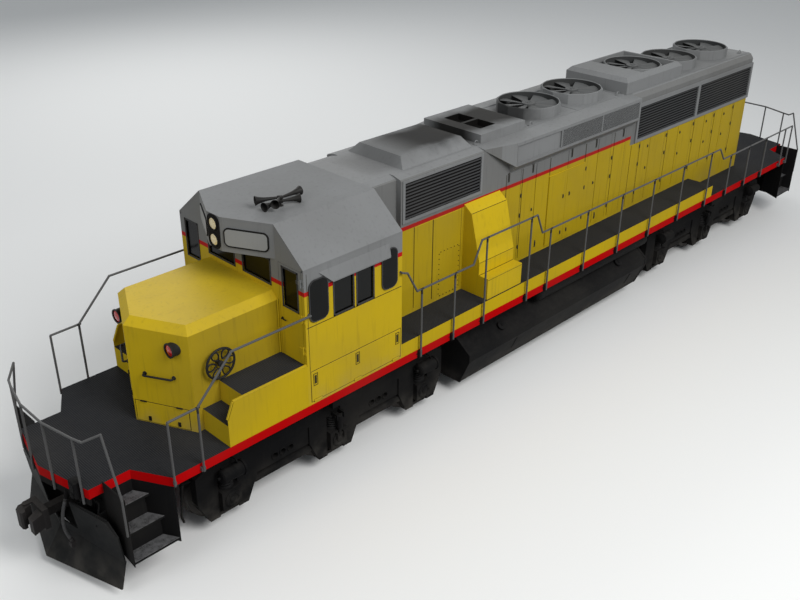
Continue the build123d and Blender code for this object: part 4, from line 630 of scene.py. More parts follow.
# %% Louvre banks
HOOD_Y, FRAME_Y, SLAT_Y, RECESS_Y = 0.871, 0.902, 0.883, 0.8632
SKIN = 0.0012       # how far a painted-on line stands off its wall
SLAT_PITCH, SLAT_WIDTH, SLAT_GAUGE = 0.056, 0.026, 0.005
FILTER_BANK = (2.172, 4.000, 3.655, 4.282)
RADIATOR_BANKS = ((-5.070, -2.760, 3.425, 4.105), (-7.480, -5.160, 3.425, 4.105))
BANKS = (FILTER_BANK, *RADIATOR_BANKS)
louvre_paint = painted("louvre_enamel", "3c3d3e", dust=0.03, streaks=0.1, shine=0.05)
# Near-black sheets that paint the shadow in recesses: behind the louvres, in the fan wells and exhaust
# openings, and behind the truck webs.
shadow_paint = painted("painted_shadow_black", "050506", dust=0.0, streaks=0.0, shine=0.05)


def louvre_bank(bank):
    """Slats on the left: bars along X at an even pitch, each with its outer edge low."""
    x0, x1, z0, z1 = bank
    levels = np.arange(z0 + 0.6 * SLAT_PITCH, z1 - 0.2 * SLAT_PITCH, SLAT_PITCH)
    return [bar((x0, SLAT_Y, z), (x1, SLAT_Y, z), SLAT_WIDTH, SLAT_GAUGE, up=(0, 0.75, 1))
            for z in levels]


def frame_bars(x0, x1, z0, z1, widths, y0=HOOD_Y - 0.002, y1=FRAME_Y):
    """Four bars round an opening: widths give the left, right, lower and upper bar."""
    rear, front, low, high = widths
    spans = ((x0 - rear, z0 - low, x0, z1 + high), (x1, z0 - low, x1 + front, z1 + high),
             (x0, z0 - low, x1, z0), (x0, z1, x1, z1 + high))
    return [slab((xa, y0, za), (xb, y1, zb)) for xa, za, xb, zb in spans]


put("louvre_slats", both_sides(gather(louvre_bank, BANKS)), louvre_paint)
# A black sheet behind each bank is the painted shade behind the slats.
recesses = [slab((x0, RECESS_Y, z0), (x1, RECESS_Y + 0.001, z1), edge=0) for x0, x1, z0, z1 in BANKS]
put("louvre_recesses", both_sides(recesses), shadow_paint)
frames = frame_bars(*FILTER_BANK, (0.055, 0.055, 0.050, 0.045), y1=0.886)
frames += frame_bars(*RADIATOR_BANKS[0], (0.045, 0.066, 0.060, 0.085))
frames += frame_bars(*RADIATOR_BANKS[1], (0.066, 0.045, 0.060, 0.085))
put("louvre_frames", both_sides(frames), grey_paint)

# %% Flare mesh
WIRE_RADIUS, WIRE_PITCH = 0.0032, 0.042
FLARE_Y = 1.0195
MESH_PANELS = ((-2.480, -1.230), (-1.190, 0.060), (0.100, 1.350))
MESHED = MESH_PANELS[:2]        # the third panel is a blank sheet
MESH_Z = (3.975, 4.300)
mesh_wire = painted("galvanised_wire", "8f9090", dust=0.05, streaks=0.0, shine=0.2)
# The dark grey sheet just behind the mesh is painted shade behind the screen.
screen_shade_backing = painted("painted_screen_shade_grey", "474848", streaks=0.1, shine=0.05)


def wire_mesh(panel_x):
    """Two sets of straight wires at 45 degrees, each cut off where it leaves the panel."""
    (x0, x1), (z0, z1) = panel_x, MESH_Z
    height = z1 - z0
    wires = []
    for slope in (1, -1):
        for start in np.arange(x0 - height, x1, WIRE_PITCH):
            foot, z_foot = (start, z0) if slope > 0 else (start + height, z0)
            ends = np.clip([foot, foot + slope * height], x0, x1)
            if abs(ends[0] - ends[1]) > 0.01:
                wires.append(tube([(x, FLARE_Y, z_foot + slope * (x - foot)) for x in ends],
                                  WIRE_RADIUS, 3))
    return wires


mesh_backs = [slab((x0, FLARE_Y - 0.003, MESH_Z[0]), (x1, FLARE_Y - 0.0015, MESH_Z[1]), edge=0)
              for x0, x1 in MESHED]
put("flare_mesh_backs", both_sides(mesh_backs), screen_shade_backing)
put("flare_mesh", both_sides(gather(wire_mesh, MESHED)), mesh_wire)
rims = gather(lambda span: frame_bars(*span, *MESH_Z, (0.018, 0.018, 0.02, 0.02), FLARE_Y - 0.002,
                                      FLARE_Y + 0.008), MESH_PANELS)
put("flare_mesh_rims", both_sides(rims), grey_paint)

# %% [markdown]
# ## Hood doors
# Behind the yellow sides stand the engine and its pumps, reached through tall doors in pairs. A door is
# a flat pressed panel a few millimetres proud of the hood, hung on small barrel hinges, with a latch
# near its free edge. The gaps between the panels are thin dark lines of painted shade.

# %% Door panels
PANEL_Y = HOOD_Y + 0.006
DOOR_PANELS = (     # X spans, then the levels they stand between
    (((1.440, 1.035), (0.975, 0.588), (0.576, 0.178), (-0.978, -1.388), (-1.400, -1.840),
      (-1.955, -2.345)), (1.990, 3.755)),
    (((0.150, -0.394), (-0.406, -0.950)), (3.412, 3.755)),
    (((-2.620, -2.905), (-2.950, -3.328), (-3.340, -3.905), (-4.035, -4.460), (-4.472, -5.045)),
     (1.990, 3.330)),
    (((-5.170, -5.590), (-5.602, -5.980), (-6.070, -6.410), (-6.422, -6.880), (-6.960, -7.460)),
     (2.120, 3.330)),
    (((3.772, 3.340), (3.320, 2.630)), (1.990, 3.470)),
)
panels, seams = [], []
for spans, (low, high) in DOOR_PANELS:
    for span in spans:
        panels.append(slab((min(span), HOOD_Y - 0.001, low), (max(span), PANEL_Y, high), edge=0.4))
        seams += [slab((x - 0.011, HOOD_Y - 0.001, low), (x + 0.011, HOOD_Y + SKIN, high), edge=0)
                  for x in span]
put("hood_door_panels", both_sides(panels), body_paint)
# Dark brown-black strips in the gaps between panels, along folds and in latch recesses are painted
# shade.
recess_shade_paint = painted("painted_recess_shade", "2c2814", dust=0.0, shine=0.1, streaks=0.0)
put("hood_door_seams", both_sides(seams), recess_shade_paint)

# %% Hinges and latches
UPPER_LATCHES_X = (1.385, 0.690, -0.505, -1.305, -2.250)
DOOR_LATCHES = [(x, z) for x in (-3.245, -4.545, -5.690, -6.500) for z in (3.180, 2.700)]
HINGES = [(x, z) for x in (1.005, -1.015, -1.900, -2.925, -3.970, -5.105, -6.025, -6.920)
          for z in (2.230, 2.860, 3.250)]
LEAF_Y = 0.8914
LEAVES = ((1, -0.300), (2, -0.500))     # door number and the X of its latches
latch_paint = painted("worn_latch_enamel", "3b3a36", dust=0.03, streaks=0.1, shine=0.1)


def latch(x, z, width, height, y=PANEL_Y):
    """Latch: a flat keeper with a raised grip along its middle."""
    return [pad(x, z, width, height, y, y + 0.010),
            pad(x, z, 0.012, height / 1.5, y + 0.009, y + 0.022, 0.3)]


def hinge(place):
    """Hinge: a short upright pin with rounded ends, over the leaf on the door."""
    x, z = place
    pin = ((0, 0), (0.007, 0.002), (0.009, 0.008), (0.009, 0.077), (0.007, 0.083), (0, 0.085))
    return [turned(pin, (x, PANEL_Y + 0.007, z - 0.0425), UP, 10),
            pad(x, z, 0.032, 0.051, PANEL_Y, PANEL_Y + 0.003)]


hardware = gather(lambda x: latch(x, 3.690, 0.052, 0.17, HOOD_Y), UPPER_LATCHES_X)
hardware += gather(lambda x: latch(x, 2.125, 0.024, 0.14), (0.480, -1.480))
hardware += gather(lambda place: latch(*place, 0.024, 0.06), DOOR_LATCHES)
hardware += gather(lambda x: latch(x, 2.880, 0.024, 0.06), (0.665, -1.305))
put("hood_latches", both_sides(hardware), latch_paint)
put("hood_hinges", both_sides(gather(hinge, HINGES)), latch_paint)
for number, x in LEAVES:
    left = gather(lambda z: latch(x, z, 0.024, 0.08, LEAF_Y), (2.125, 2.880))
    for side_name, parts in (("left", left), ("right", [mirrored(part) for part in left])):
        node = f"hood_door_{side_name}_{number}"
        put(f"{node}_latches", parts, latch_paint, body=node)

# %% [markdown]
# ## Roof fittings
# The fans turn in wells, which are in shadow below the blades, and each fan hood has a rolled rim. The
# third fan stands on a hatch, so its parts are higher. The shade is painted: black on the well floors
# and in the exhaust openings, and dark grey round the inside of each fan housing.

# %% Fan wells, exhaust linings and rims
FAN_X = (-0.190, -1.562, -3.720, -5.187, -6.567)
HOOD_TOP_Z, FAN_RIM_Z, HATCH_RISE = 4.396, 4.587, 0.09
FAN_PLACES = [(x, HATCH_RISE if x == FAN_X[2] else 0.0) for x in FAN_X]
WELL_FLOOR = ((0, 0), (0.535, 0), (0.540, 0.003), (0.535, 0.006), (0, 0.006))
WELL_LINER = ((0.566, 0.002), (0.572, 0.002), (0.572, 0.186), (0.566, 0.186), (0.566, 0.002))
RIM_BEAD = [(0.578 + 0.009 * math.cos(a), 0.009 * math.sin(a)) for a in np.linspace(0, 2 * math.pi, 13)]
STACK_X, STACK_Z, STACK_HALF, LINING = (1.303, 1.697), (4.4365, 4.553), 0.197, 0.0025
# Dark grey on the inside of each fan housing is painted shade in the well.
well_shade_paint = painted("painted_well_shade_grey", "3a3b3b", dust=0.0, streaks=0.1, shine=0.05)


def stack_shade_lining(y):
    """Thin black sheets on the four walls and the floor of one exhaust opening, painting its shade."""
    (x0, x1), (low, high), near, far = STACK_X, STACK_Z, y - STACK_HALF, y + STACK_HALF
    walls = (((x0 - LINING, near - LINING), (x0, far + LINING)),
             ((x1, near - LINING), (x1 + LINING, far + LINING)),
             ((x0, near - LINING), (x1, near)), ((x0, far), (x1, far + LINING)))
    base = slab((x0 - 0.001, near - 0.001, low), (x1 + 0.001, far + 0.001, low + 0.004), edge=0)
    return [slab((*start, low), (*end, high)) for start, end in walls] + [base]


# Black discs on the well floors paint the shade under the blades.
put("fan_well_floors", [turned(WELL_FLOOR, (x, 0, HOOD_TOP_Z + 0.001 + rise), UP, 40)
                        for x, rise in FAN_PLACES], shadow_paint)
put("stack_shade_linings", gather(stack_shade_lining, (-0.230, 0.230)), shadow_paint)
put("fan_rims", [turned(RIM_BEAD, (x, 0, FAN_RIM_Z + rise), UP, 48, ring=True)
                 for x, rise in FAN_PLACES], grey_paint)
put("fan_well_shade_liners", [turned(WELL_LINER, (x, 0, HOOD_TOP_Z + rise), UP, 40, ring=True)
                        for x, rise in FAN_PLACES], well_shade_paint)

# %% Fans
FAN_RADIUS, FAN_HUB_RADIUS, FAN_BLADES, FAN_LIFT = 0.556, 0.128, 8, 0.030
FAN_HUB = ((0, -0.036), (0.126, -0.036), (0.128, -0.030), (0.128, 0.030), (0.120, 0.038), (0.070, 0.038),
           (0.062, 0.030), (0.030, 0.030), (0.026, 0.042), (0, 0.042))


def fan_blade(angle, level):
    """Blade as a thin sheet: its pitch falls from 16 degrees at the hub to 9, and its chord bows."""
    reach = np.linspace(FAN_HUB_RADIUS - 0.004, FAN_RADIUS, 8)[:, None]
    chord = np.linspace(-0.5, 0.5, 7)[None, :]
    share = (reach - reach[0]) / (reach[-1] - reach[0])
    pitch = np.radians(16 - 7 * share)
    width = 0.090 + 0.250 * share
    across = chord * width * np.cos(pitch)
    rise = chord * width * np.sin(pitch) * 0.85 + 0.012 * (1 - 4 * chord ** 2)
    turn = math.radians(angle)
    x = reach * math.cos(turn) - across * math.sin(turn)
    y = reach * math.sin(turn) + across * math.cos(turn)
    scale = np.minimum(1, FAN_RADIUS / np.hypot(x, y))
    upper = np.stack([x * scale, y * scale, level + rise], -1)
    rings = np.concatenate([upper, upper[:, ::-1] - (0, 0, 0.005)], axis=1)
    return ring_shape(rings[:, ::-1])


for number, x in enumerate(FAN_X, 1):
    node = f"roof_fan_{number}"
    low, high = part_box(node)
    level = (low[2] + high[2]) / 2 + FAN_LIFT
    blades = [moved(fan_blade(angle, level), (x, 0, 0)) for angle in np.arange(FAN_BLADES) * 45 + 11]
    rotor = put(f"fan_rotor_{number}", [turned(FAN_HUB, (x, 0, level), UP, 28), *blades], fan_paint,
                body=node)
    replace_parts(rotor, node)

# %% Folds and lid of the blower duct
DUCT_X, DUCT_FOLDS = (1.626, 2.549), ((1.042, 3.391), (1.262, 2.543))
DUCT_BOX_BACK_Y, DUCT_BOX_Y, DUCT_BOX_TOP = 1.262, 1.470, 2.310
# Thin dark strips along the duct's folds and the edges of its box are painted shade.
fold_lines = [((y - 0.004, z - 0.005), (y + 0.0015, z + 0.003)) for y, z in DUCT_FOLDS]
fold_lines += [((DUCT_BOX_Y - 0.001, DUCT_BOX_TOP - 0.034), (DUCT_BOX_Y + SKIN, DUCT_BOX_TOP - 0.026)),
               ((DUCT_BOX_BACK_Y, DUCT_BOX_TOP - 0.001),
                (DUCT_BOX_BACK_Y + 0.012, DUCT_BOX_TOP + 0.002))]
put("blower_duct_folds", [slab((DUCT_X[0], *low), (DUCT_X[1], *high), edge=0)
                          for low, high in fold_lines], recess_shade_paint)

# %% Roof seams and lifting lugs
STRIP_HALF = 0.018
strips = []
for x0, x1, y in ((-2.53, 2.07, 0.665), (-7.50, -2.58, 0.745)):
    strips += [slab((x0, side * y - STRIP_HALF, HOOD_TOP_Z - 0.001),
                    (x1, side * y + STRIP_HALF, HOOD_TOP_Z + 0.008))
               for side in (-1, 1)]
strips += [slab((x - STRIP_HALF, -0.66, HOOD_TOP_Z - 0.001), (x + STRIP_HALF, 0.66, HOOD_TOP_Z + 0.007))
           for x in (0.66, -0.87, -2.36)]
put("roof_seam_strips", strips, grey_paint)


def lifting_lug(place):
    """Eye on a pad: a rod bent to a half ellipse on a small base."""
    x, y = place
    arc = np.linspace(0, math.pi, 9)
    path = np.stack([x + 0.045 * np.cos(arc), np.full(9, y),
                     HOOD_TOP_Z + 0.012 + 0.055 * np.sin(arc)], -1)
    return [tube(path, 0.009, 8),
            slab((x - 0.06, y - 0.03, HOOD_TOP_Z), (x + 0.06, y + 0.03, HOOD_TOP_Z + 0.012))]


lug_places = [(x, y) for x in (2.02, 0.52, -2.28, -4.62, -7.30) for y in (-0.62, 0.62)]
put("roof_lifting_lugs", gather(lifting_lug, lug_places), grey_paint)

# %% [markdown]
# ## Windows, awnings and doors of the cab
# Each pane sits in a black rubber gasket. A gasket runs round an opening at an even width, so it is a
# closed row of flat bars laid on the wall along the opening's corners. The two door panes ride on
# their doors. Sheet awnings hang over the side windows, and a dark pane stands ahead of and behind
# them as a wind deflector.

# %% Panels on any plane
def panel(outline, origin, across, depth):
    """Flat upright panel: a counter-clockwise outline laid from an origin, given a depth outward."""
    across = unit(across)
    flat = np.asarray(origin, float) + outline[:, :1] * across + outline[:, 1:] * np.array(UP)
    return ring_shape([flat, flat + depth * np.cross(across, UP)])


def gasket(axis, level, spans, heights, normal):
    """Flat bars round an upright opening in a wall square to an axis, each lapping the next."""
    width, depth = 0.026, 0.012
    low, high = heights
    corners = [(spans[0], low), (spans[1], low), (spans[1], high), (spans[0], high)]
    corners = np.array([(level, a, z) if axis == 0 else (a, level, z) for a, z in corners])
    bars = []
    for start, end in zip(corners, np.roll(corners, -1, axis=0)):
        reach = unit(end - start) * width / 2
        bars.append(bar(start - reach, end + reach, width, depth, up=normal))
    return bars


# %% Gaskets and door panes
CAB_FRONT_X, CAB_REAR_X, CAB_Y = 6.622, 4.687, 1.497
PROUD = 0.002       # how far a gasket's middle stands off its wall
WINDOW_Z, WINDSHIELD_Z, SIDE_Z = (3.180, 3.800), (3.415, 3.815), (2.990, 3.600)
LEFT_DOOR_Y, RIGHT_DOOR_Y = (1.026, 1.364), (-1.364, -1.026)
gaskets = both_sides(gasket(0, CAB_FRONT_X + PROUD, (0.100, 0.760), WINDSHIELD_Z, AHEAD))
for span in ((5.285, 5.630), (5.690, 6.080)):
    gaskets += both_sides(gasket(1, CAB_Y + PROUD, span, SIDE_Z, OUT))
gaskets += gasket(0, CAB_FRONT_X + PROUD, RIGHT_DOOR_Y, WINDOW_Z, AHEAD)
gaskets += gasket(0, CAB_REAR_X - PROUD, (0.960, 1.380), (3.000, 3.560), ASTERN)
put("window_gaskets", gaskets, rubber_black)
KNOB = ((0, 0), (0.022, 0), (0.022, 0.004), (0.010, 0.008), (0.010, 0.030), (0, 0.034))
DOORS = (("cab_door_front", CAB_FRONT_X, 1, LEFT_DOOR_Y),
         ("cab_door_rear", CAB_REAR_X, -1, RIGHT_DOOR_Y))
for name, x, outward, (y0, y1) in DOORS:
    facing_out = (outward, 0, 0)
    put(f"{name}_gasket", gasket(0, x + outward * PROUD, (y0, y1), WINDOW_Z, facing_out), rubber_black,
        body=name)
    middle, lap = x - outward * 0.024, 0.004
    pane = slab((middle - lap, y0 - lap, WINDOW_Z[0] - lap), (middle + lap, y1 + lap, WINDOW_Z[1] + lap))
    put(f"{name}_pane", [pane], glass, body=name)
    handle_y = y0 - 0.035 if outward > 0 else y1 + 0.035
    tip_x = x + outward * 0.034
    lever = bar((tip_x, handle_y, 2.968), (tip_x, handle_y + outward * 0.115, 2.968), 0.014, 0.016)
    knob = turned(KNOB, (x + outward * 0.003, handle_y, 2.960), facing_out, 14)
    put(f"{name}_handle", [knob, lever], dark_paint, body=name)

# %% Awnings and deflector panes
AWNING_TOP, AWNING_EDGE = (1.499, 3.775), (1.556, 3.578)


def awning():
    """Thin sheet that slopes out over the windows, a little shorter at its lower edge, and its lip."""
    (y0, z0), (y1, z1) = AWNING_TOP, AWNING_EDGE
    share = np.linspace(0, 1, 8)[:, None]
    along = np.linspace(0, 1, 24)[None, :]
    front, rear = 6.349 - 0.215 * share, 4.960 + 0.020 * share
    x = rear + (front - rear) * along
    upper = np.stack([x, y0 + (y1 - y0) * share + 0 * along,
                      z0 + (z1 - z0) * share ** 1.04 + 0 * along], -1)
    lower = upper + (0, -0.004, -0.001)
    border = (np.s_[0, :], np.s_[1:, -1], np.s_[-1, -2::-1], np.s_[-2:0:-1, 0])
    rim = ring_shape([np.concatenate([sheet[part] for part in border]) for sheet in (lower, upper)],
                     close_ends=False)
    lip = bar((4.985, y1 - 0.003, z1), (6.130, y1 - 0.003, z1), 0.010, 0.022)
    return [inside_out(grid_shape(upper)), grid_shape(lower), inside_out(rim), lip]


put("window_awnings", both_sides(awning()), grey_paint)
rims, panes = [], []
for x, width in ((6.370, 0.360), (4.965, 0.330)):
    rims.append(panel(rounded_outline(width, 0.670, 0.115, 6), (x, CAB_Y + 0.012, 3.365), ASTERN, 0.010))
    rims += [bar((x, CAB_Y - 0.001, z), (x, CAB_Y + 0.013, z), 0.030, 0.030) for z in (3.12, 3.61)]
    panes.append(panel(rounded_outline(width - 0.036, 0.634, 0.097, 6), (x, CAB_Y + 0.0215, 3.365),
                       ASTERN, 0.003))
put("deflector_rims", both_sides(rims), rubber_black)
put("deflector_panes", both_sides(panes), tinted_glass("dark_safety_glass", 0.0))

# %% [markdown]
# ## Lamps and number boards
# Two headlights stand one above the other on a housing over the windshields, with a blank number board
# on each of its slanted faces. The locomotive also runs hood first, so its rear wall carries the same
# lamps and boards. A headlight is a silvered bowl behind ribbed glass; the bowl is not drawn, and the
# lens is painted pale and warm as its reflection. The ribs are rings in the turned profile of the lens.

# %% Headlights
LENS = {"Roughness": 0.12, "Coat Weight": 0.6}
LENS_RADIUS = 0.084
# The lens is coloured pale cream as a painted reflection of the silvered bowl, which is not drawn.
headlight_glass = mottled("headlight_glass_painted_reflection", 0.02, 2, (0.3, 0.8), ("fff0c4", "e2cf9c"), LENS)
marker_glass = mottled("moulded_red_lens_glass", 0.02, 2, (0.3, 0.8), ("d81414", "b00c0c"), LENS)
board_face = painted("opal_board_face", "929392", dust=0.03, streaks=0.05, shine=0.3)
LAMP_RING = ((0.082, 0), (0.108, 0), (0.108, 0.014), (0.100, 0.020), (0.090, 0.014), (0.084, 0.004),
             (0.082, 0))
ribbed = [(r, 0.004 + 0.012 * (1 - (r / LENS_RADIUS) ** 2) + 0.0015 * (i % 2))
          for i, r in enumerate(np.linspace(0, LENS_RADIUS, 15))]
HEADLIGHT_LENS = [(0, 0), (LENS_RADIUS, 0)] + ribbed[::-1]


def headlights(name, x, outward, plate_z, levels, size):
    """Two headlights over a rounded plate, on an upright wall that faces ahead (1) or astern (-1)."""
    housing = [panel(rounded_outline(*size, 8), (x - outward * 0.001, 0, plate_z), (0, outward, 0),
                     0.016)]
    places = [(x + outward * 0.014, 0, z) for z in levels]
    housing += [turned(LAMP_RING, place, (outward, 0, 0), 36, ring=True) for place in places]
    put(f"{name}_housing", housing, dark_paint)
    put(f"{name}_lenses", [turned(HEADLIGHT_LENS, place, (outward, 0, 0), 36) for place in places],
        headlight_glass)


def number_boards(name, place, across, outer, inner):
    """Blank boards on both sides: an opal face a few millimetres proud inside a dark rim.

    Each outline is a width, a height and a corner radius.
    """
    raised = np.asarray(place) + 0.013 * np.cross(unit(across), UP)
    rim = panel(rounded_outline(*outer, 8), place, across, 0.014)
    face = panel(rounded_outline(*inner, 8), raised, across, 0.004)
    put(f"{name}_rims", both_sides([rim]), dark_paint)
    put(f"{name}_faces", both_sides([face]), board_face)


PROW_X, PROW_Y, EAVE_Y = 6.998, 0.158, 0.889
BOARD_Y, BOARD_Z = 0.510, 4.100
board_share = (BOARD_Y - PROW_Y) / (EAVE_Y - PROW_Y)
headlights("headlight", PROW_X, 1, 4.130, (4.252, 4.003), (0.280, 0.528, 0.110))
number_boards("number_board", (PROW_X + board_share * (CAB_FRONT_X - PROW_X), BOARD_Y, BOARD_Z),
              (CAB_FRONT_X - PROW_X, EAVE_Y - PROW_Y, 0), (0.700, 0.296, 0.084), (0.656, 0.252, 0.066))

# %% [markdown]
# ## Nose fittings
# The nose is a plain sheet box with a flap at its foot, a grab iron, and two marker lamps that look
# ahead. Its two front faces slant back from the centreline, and its fittings are laid out along them.

# %% Nose flap and grab iron
NOSE_X, NOSE_Y = (8.606, 8.160), 0.891
nose_across = unit((NOSE_X[1] - NOSE_X[0], NOSE_Y, 0))
NOSE_OUT = np.cross(nose_across, UP)
FLAP_PLACE = (0.408, 1.845)


def on_nose(y, z, out=0.0):
    """Point on the left front face at a Y and height, moved out square to the face."""
    return np.array((NOSE_X[0] - (NOSE_X[0] - NOSE_X[1]) * y / NOSE_Y, y, z)) + out * NOSE_OUT


def nose_panel(width, height, depth):
    """Rectangular sheet on the nose's left front face, centred where the flap is."""
    corners = np.array([(-1, -1), (1, -1), (1, 1), (-1, 1)]) * (width / 2, height / 2)
    return panel(corners, on_nose(*FLAP_PLACE), nose_across, depth)


put("nose_flaps", both_sides([nose_panel(0.850, 0.330, 0.006)]), body_paint)
# A thin dark sheet round each flap is the painted shade in its gap.
put("nose_flap_gaps", both_sides([nose_panel(0.872, 0.352, 0.0015)]), recess_shade_paint)
nose_parts = [bar(on_nose(y - 0.045, 2.020, 0.010), on_nose(y + 0.045, 2.020, 0.010), 0.018, 0.018)
              for y in (0.150, 0.665)]
nose_parts += [bar(on_nose(y, 1.700, 0.010), on_nose(y, 1.775, 0.010), 0.045, 0.012, up=NOSE_OUT)
               for y in (0.215, 0.640)]
put("nose_hinges_and_latches", both_sides(nose_parts), dark_paint)
GRAB_ENDS = ((0.224, 2.503), (0.635, 2.515))
GRAB_FOOT = ((0, 0), (0.032, 0), (0.032, 0.008), (0.020, 0.014), (0, 0.014))
first, last = GRAB_ENDS
grab_path = rounded([on_nose(*first), on_nose(*first, 0.070), on_nose(*last, 0.070),
                     on_nose(*last)], 0.03)
grab = [tube(grab_path, 0.016, 10)] + [turned(GRAB_FOOT, on_nose(*end), NOSE_OUT, 12)
                                       for end in GRAB_ENDS]
put("nose_grab_irons", both_sides(grab), black_paint)

# %% Marker lamps
LONG_BARREL = ((0, 0), (0.104, 0), (0.104, 0.108), (0.112, 0.118), (0.112, 0.136), (0.090, 0.136),
               (0.090, 0.114), (0, 0.114))
WIDE_LENS = ((0, 0), (0.089, 0), (0.089, 0.006), (0.062, 0.018), (0.030, 0.024), (0, 0.025))


def marker_lamps(name, base, outward, barrel, lens, lens_depth, sides):
    """Barrel and red lens on both sides, the lens seated at a depth along the barrel."""
    seat = np.asarray(base) + lens_depth * np.asarray(outward)
    put(f"{name}_lamps", both_sides([turned(barrel, base, outward, sides)]), black_paint)
    put(f"{name}_lenses", both_sides([turned(lens, seat, outward, sides)]), marker_glass)


marker_lamps("marker", on_nose(0.675, 2.990) - (0.056, 0, 0), AHEAD, LONG_BARREL, WIDE_LENS, 0.1135, 28)

# %% [markdown]
# ## Cab side panels
# Below the windows the cab's side is a row of flat covers over the air equipment, held by recessed
# latches. The covers stand a few millimetres proud, and the shade in the gap round them and in the
# latch recesses is painted dark.

# %% Covers, seams and latches
COVER_X, COVER_Z = (4.715, 6.560), (1.712, 2.222)
HINGE_PLATES = [(x - 0.075, x + 0.075, COVER_Z[0] - 0.018, COVER_Z[0] + 0.020)
                for x in (6.440, 5.640, 4.820)]
WALL, LINE = CAB_Y - 0.001, CAB_Y + SKIN
covers = [slab((COVER_X[0], WALL, COVER_Z[0]), (COVER_X[1], CAB_Y + 0.005, COVER_Z[1]), edge=0.4)]
covers += [slab((x0, WALL, z0), (x1, CAB_Y + 0.011, z1)) for x0, x1, z0, z1 in HINGE_PLATES]
put("cab_side_covers", both_sides(covers), body_paint)
seams = frame_bars(*COVER_X, *COVER_Z, (0.010,) * 4, WALL, LINE)
seams += [slab((4.700, WALL, 2.960), (6.600, LINE, 2.972), edge=0),
          slab((6.566, WALL, 2.240), (6.574, LINE, 3.820), edge=0)]
seams += gather(lambda plate: frame_bars(*plate, (0.005,) * 4, WALL, CAB_Y + 0.0056), HINGE_PLATES)
put("cab_side_seams", both_sides(seams), recess_shade_paint)
# The cab side latches are drawn in the same painted shade as their recesses.
latches = []
for x in (6.480, 5.640, 4.790):
    latches += frame_bars(x - 0.034, x + 0.034, 1.980, 2.170, (0.008,) * 4, CAB_Y + 0.004, CAB_Y + 0.010)
    latches.append(slab((x - 0.020, CAB_Y + 0.004, 2.005), (x + 0.020, CAB_Y + 0.009, 2.145)))
put("cab_side_latches", both_sides(latches), recess_shade_paint)
BOLT_HEAD = ((0, 0), (0.010, 0), (0.010, 0.006), (0.006, 0.009), (0, 0.009))
bolts = [(x, z) for x in np.arange(2.70, 3.15, 0.085) for z in (1.985, 2.820)]
bolts += [(x, z) for x in (2.665, 3.165) for z in np.arange(2.03, 2.80, 0.095)]
put("filter_cover_bolts", both_sides([turned(BOLT_HEAD, (x, PANEL_Y - 0.001, z), OUT, 6)
                                      for x, z in bolts]), dark_paint)

# %% [markdown]
# ## Air horn
# Five bells of different lengths stand on one manifold and are tuned to a chord. Each is a cast cone
# that flares into a mouth, so its wall is one turned profile: out along the outside and back inside.

# %% Horn
HORN_PLACE = np.array((6.120, 0.430, 4.396))
HORN_BELLS = ((-22, 0.371, 0.130), (8, 0.330, 0.080), (37, 0.282, 0.130), (184, 0.395, 0.120),
              (160, 0.300, 0.070))     # direction in degrees, reach, and height over the roof
MANIFOLD = ((0, 0), (0.045, 0), (0.045, 0.012), (0.018, 0.020), (0.018, 0.140), (0.026, 0.150),
            (0, 0.158))
BELL_BACK = ((0, 0), (0.020, 0.004), (0.030, 0.016), (0.030, 0.040), (0.020, 0.050), (0, 0.052))


def horn_bell(bell):
    """Bell from the manifold outward: an even wall round a flare that grows as the fourth power."""
    angle, reach, level = bell
    share = np.linspace(0, 1, 14)
    outer = 0.019 + 0.016 * share + 0.036 * share ** 4
    start = 0.035
    length = reach - start
    profile = [(0, start)] + [(r, start + length * s) for r, s in zip(outer, share)]
    profile += [(r - 0.005, start + length * s + 0.002) for r, s in zip(outer[:3:-1], share[:3:-1])]
    profile.append((0, start + length * 0.36))
    direction = np.array((math.cos(math.radians(angle)), math.sin(math.radians(angle)), 0))
    place = HORN_PLACE + (0, 0, level)
    return [turned(profile, place, direction, 24),
            turned(BELL_BACK, place - 0.005 * direction, direction, 16)]


horn_parts = [turned(MANIFOLD, HORN_PLACE, UP, 20), *gather(horn_bell, HORN_BELLS)]
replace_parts(put("air_horn", horn_parts, black_paint), "horn")

# %% [markdown]
# ## Rear end of the long hood
# Below its lamps and boards the rear wall has a sand box lid, two door panels, and a row of grab irons
# up its right-hand side.

# %% Rear lamps and boards
REAR_X = -7.530
ROUND_BARREL = ((0, 0), (0.084, 0), (0.084, 0.008), (0.070, 0.014), (0.072, 0.075), (0.078, 0.086),
                (0.078, 0.100), (0.060, 0.100), (0.060, 0.080), (0, 0.080))
ROUND_LENS = ((0, 0), (0.059, 0), (0.059, 0.008), (0.042, 0.022), (0.020, 0.029), (0, 0.030))
headlights("rear_headlight", REAR_X, -1, 3.905, (4.020, 3.790), (0.270, 0.500, 0.100))
number_boards("rear_number_board", (REAR_X + 0.001, 0.470, 3.960), (0, -1, 0), (0.560, 0.270, 0.070),
              (0.520, 0.230, 0.055))
marker_lamps("rear_marker", (REAR_X + 0.001, 0.690, 3.620), ASTERN, ROUND_BARREL, ROUND_LENS, 0.0795, 24)


# %% Sand box lid, door seams and grab irons
def on_rear(y0, y1, z0, z1, proud, edge=0.1):
    """Block on the rear wall between two Ys and two heights, standing proud of it."""
    return slab((REAR_X - proud, y0, z0), (REAR_X + 0.001, y1, z1), edge)


lid = [on_rear(-0.300, 0.300, 3.395, 3.560, 0.007),
       slab((REAR_X - 0.020, -0.050, 3.395), (REAR_X - 0.006, 0.050, 3.425))]
lid += [on_rear(y, y + 0.560, 1.990, 3.200, 0.006, 0.4) for y in (-0.570, 0.010)]
put("rear_lid_and_doors", lid, body_paint)
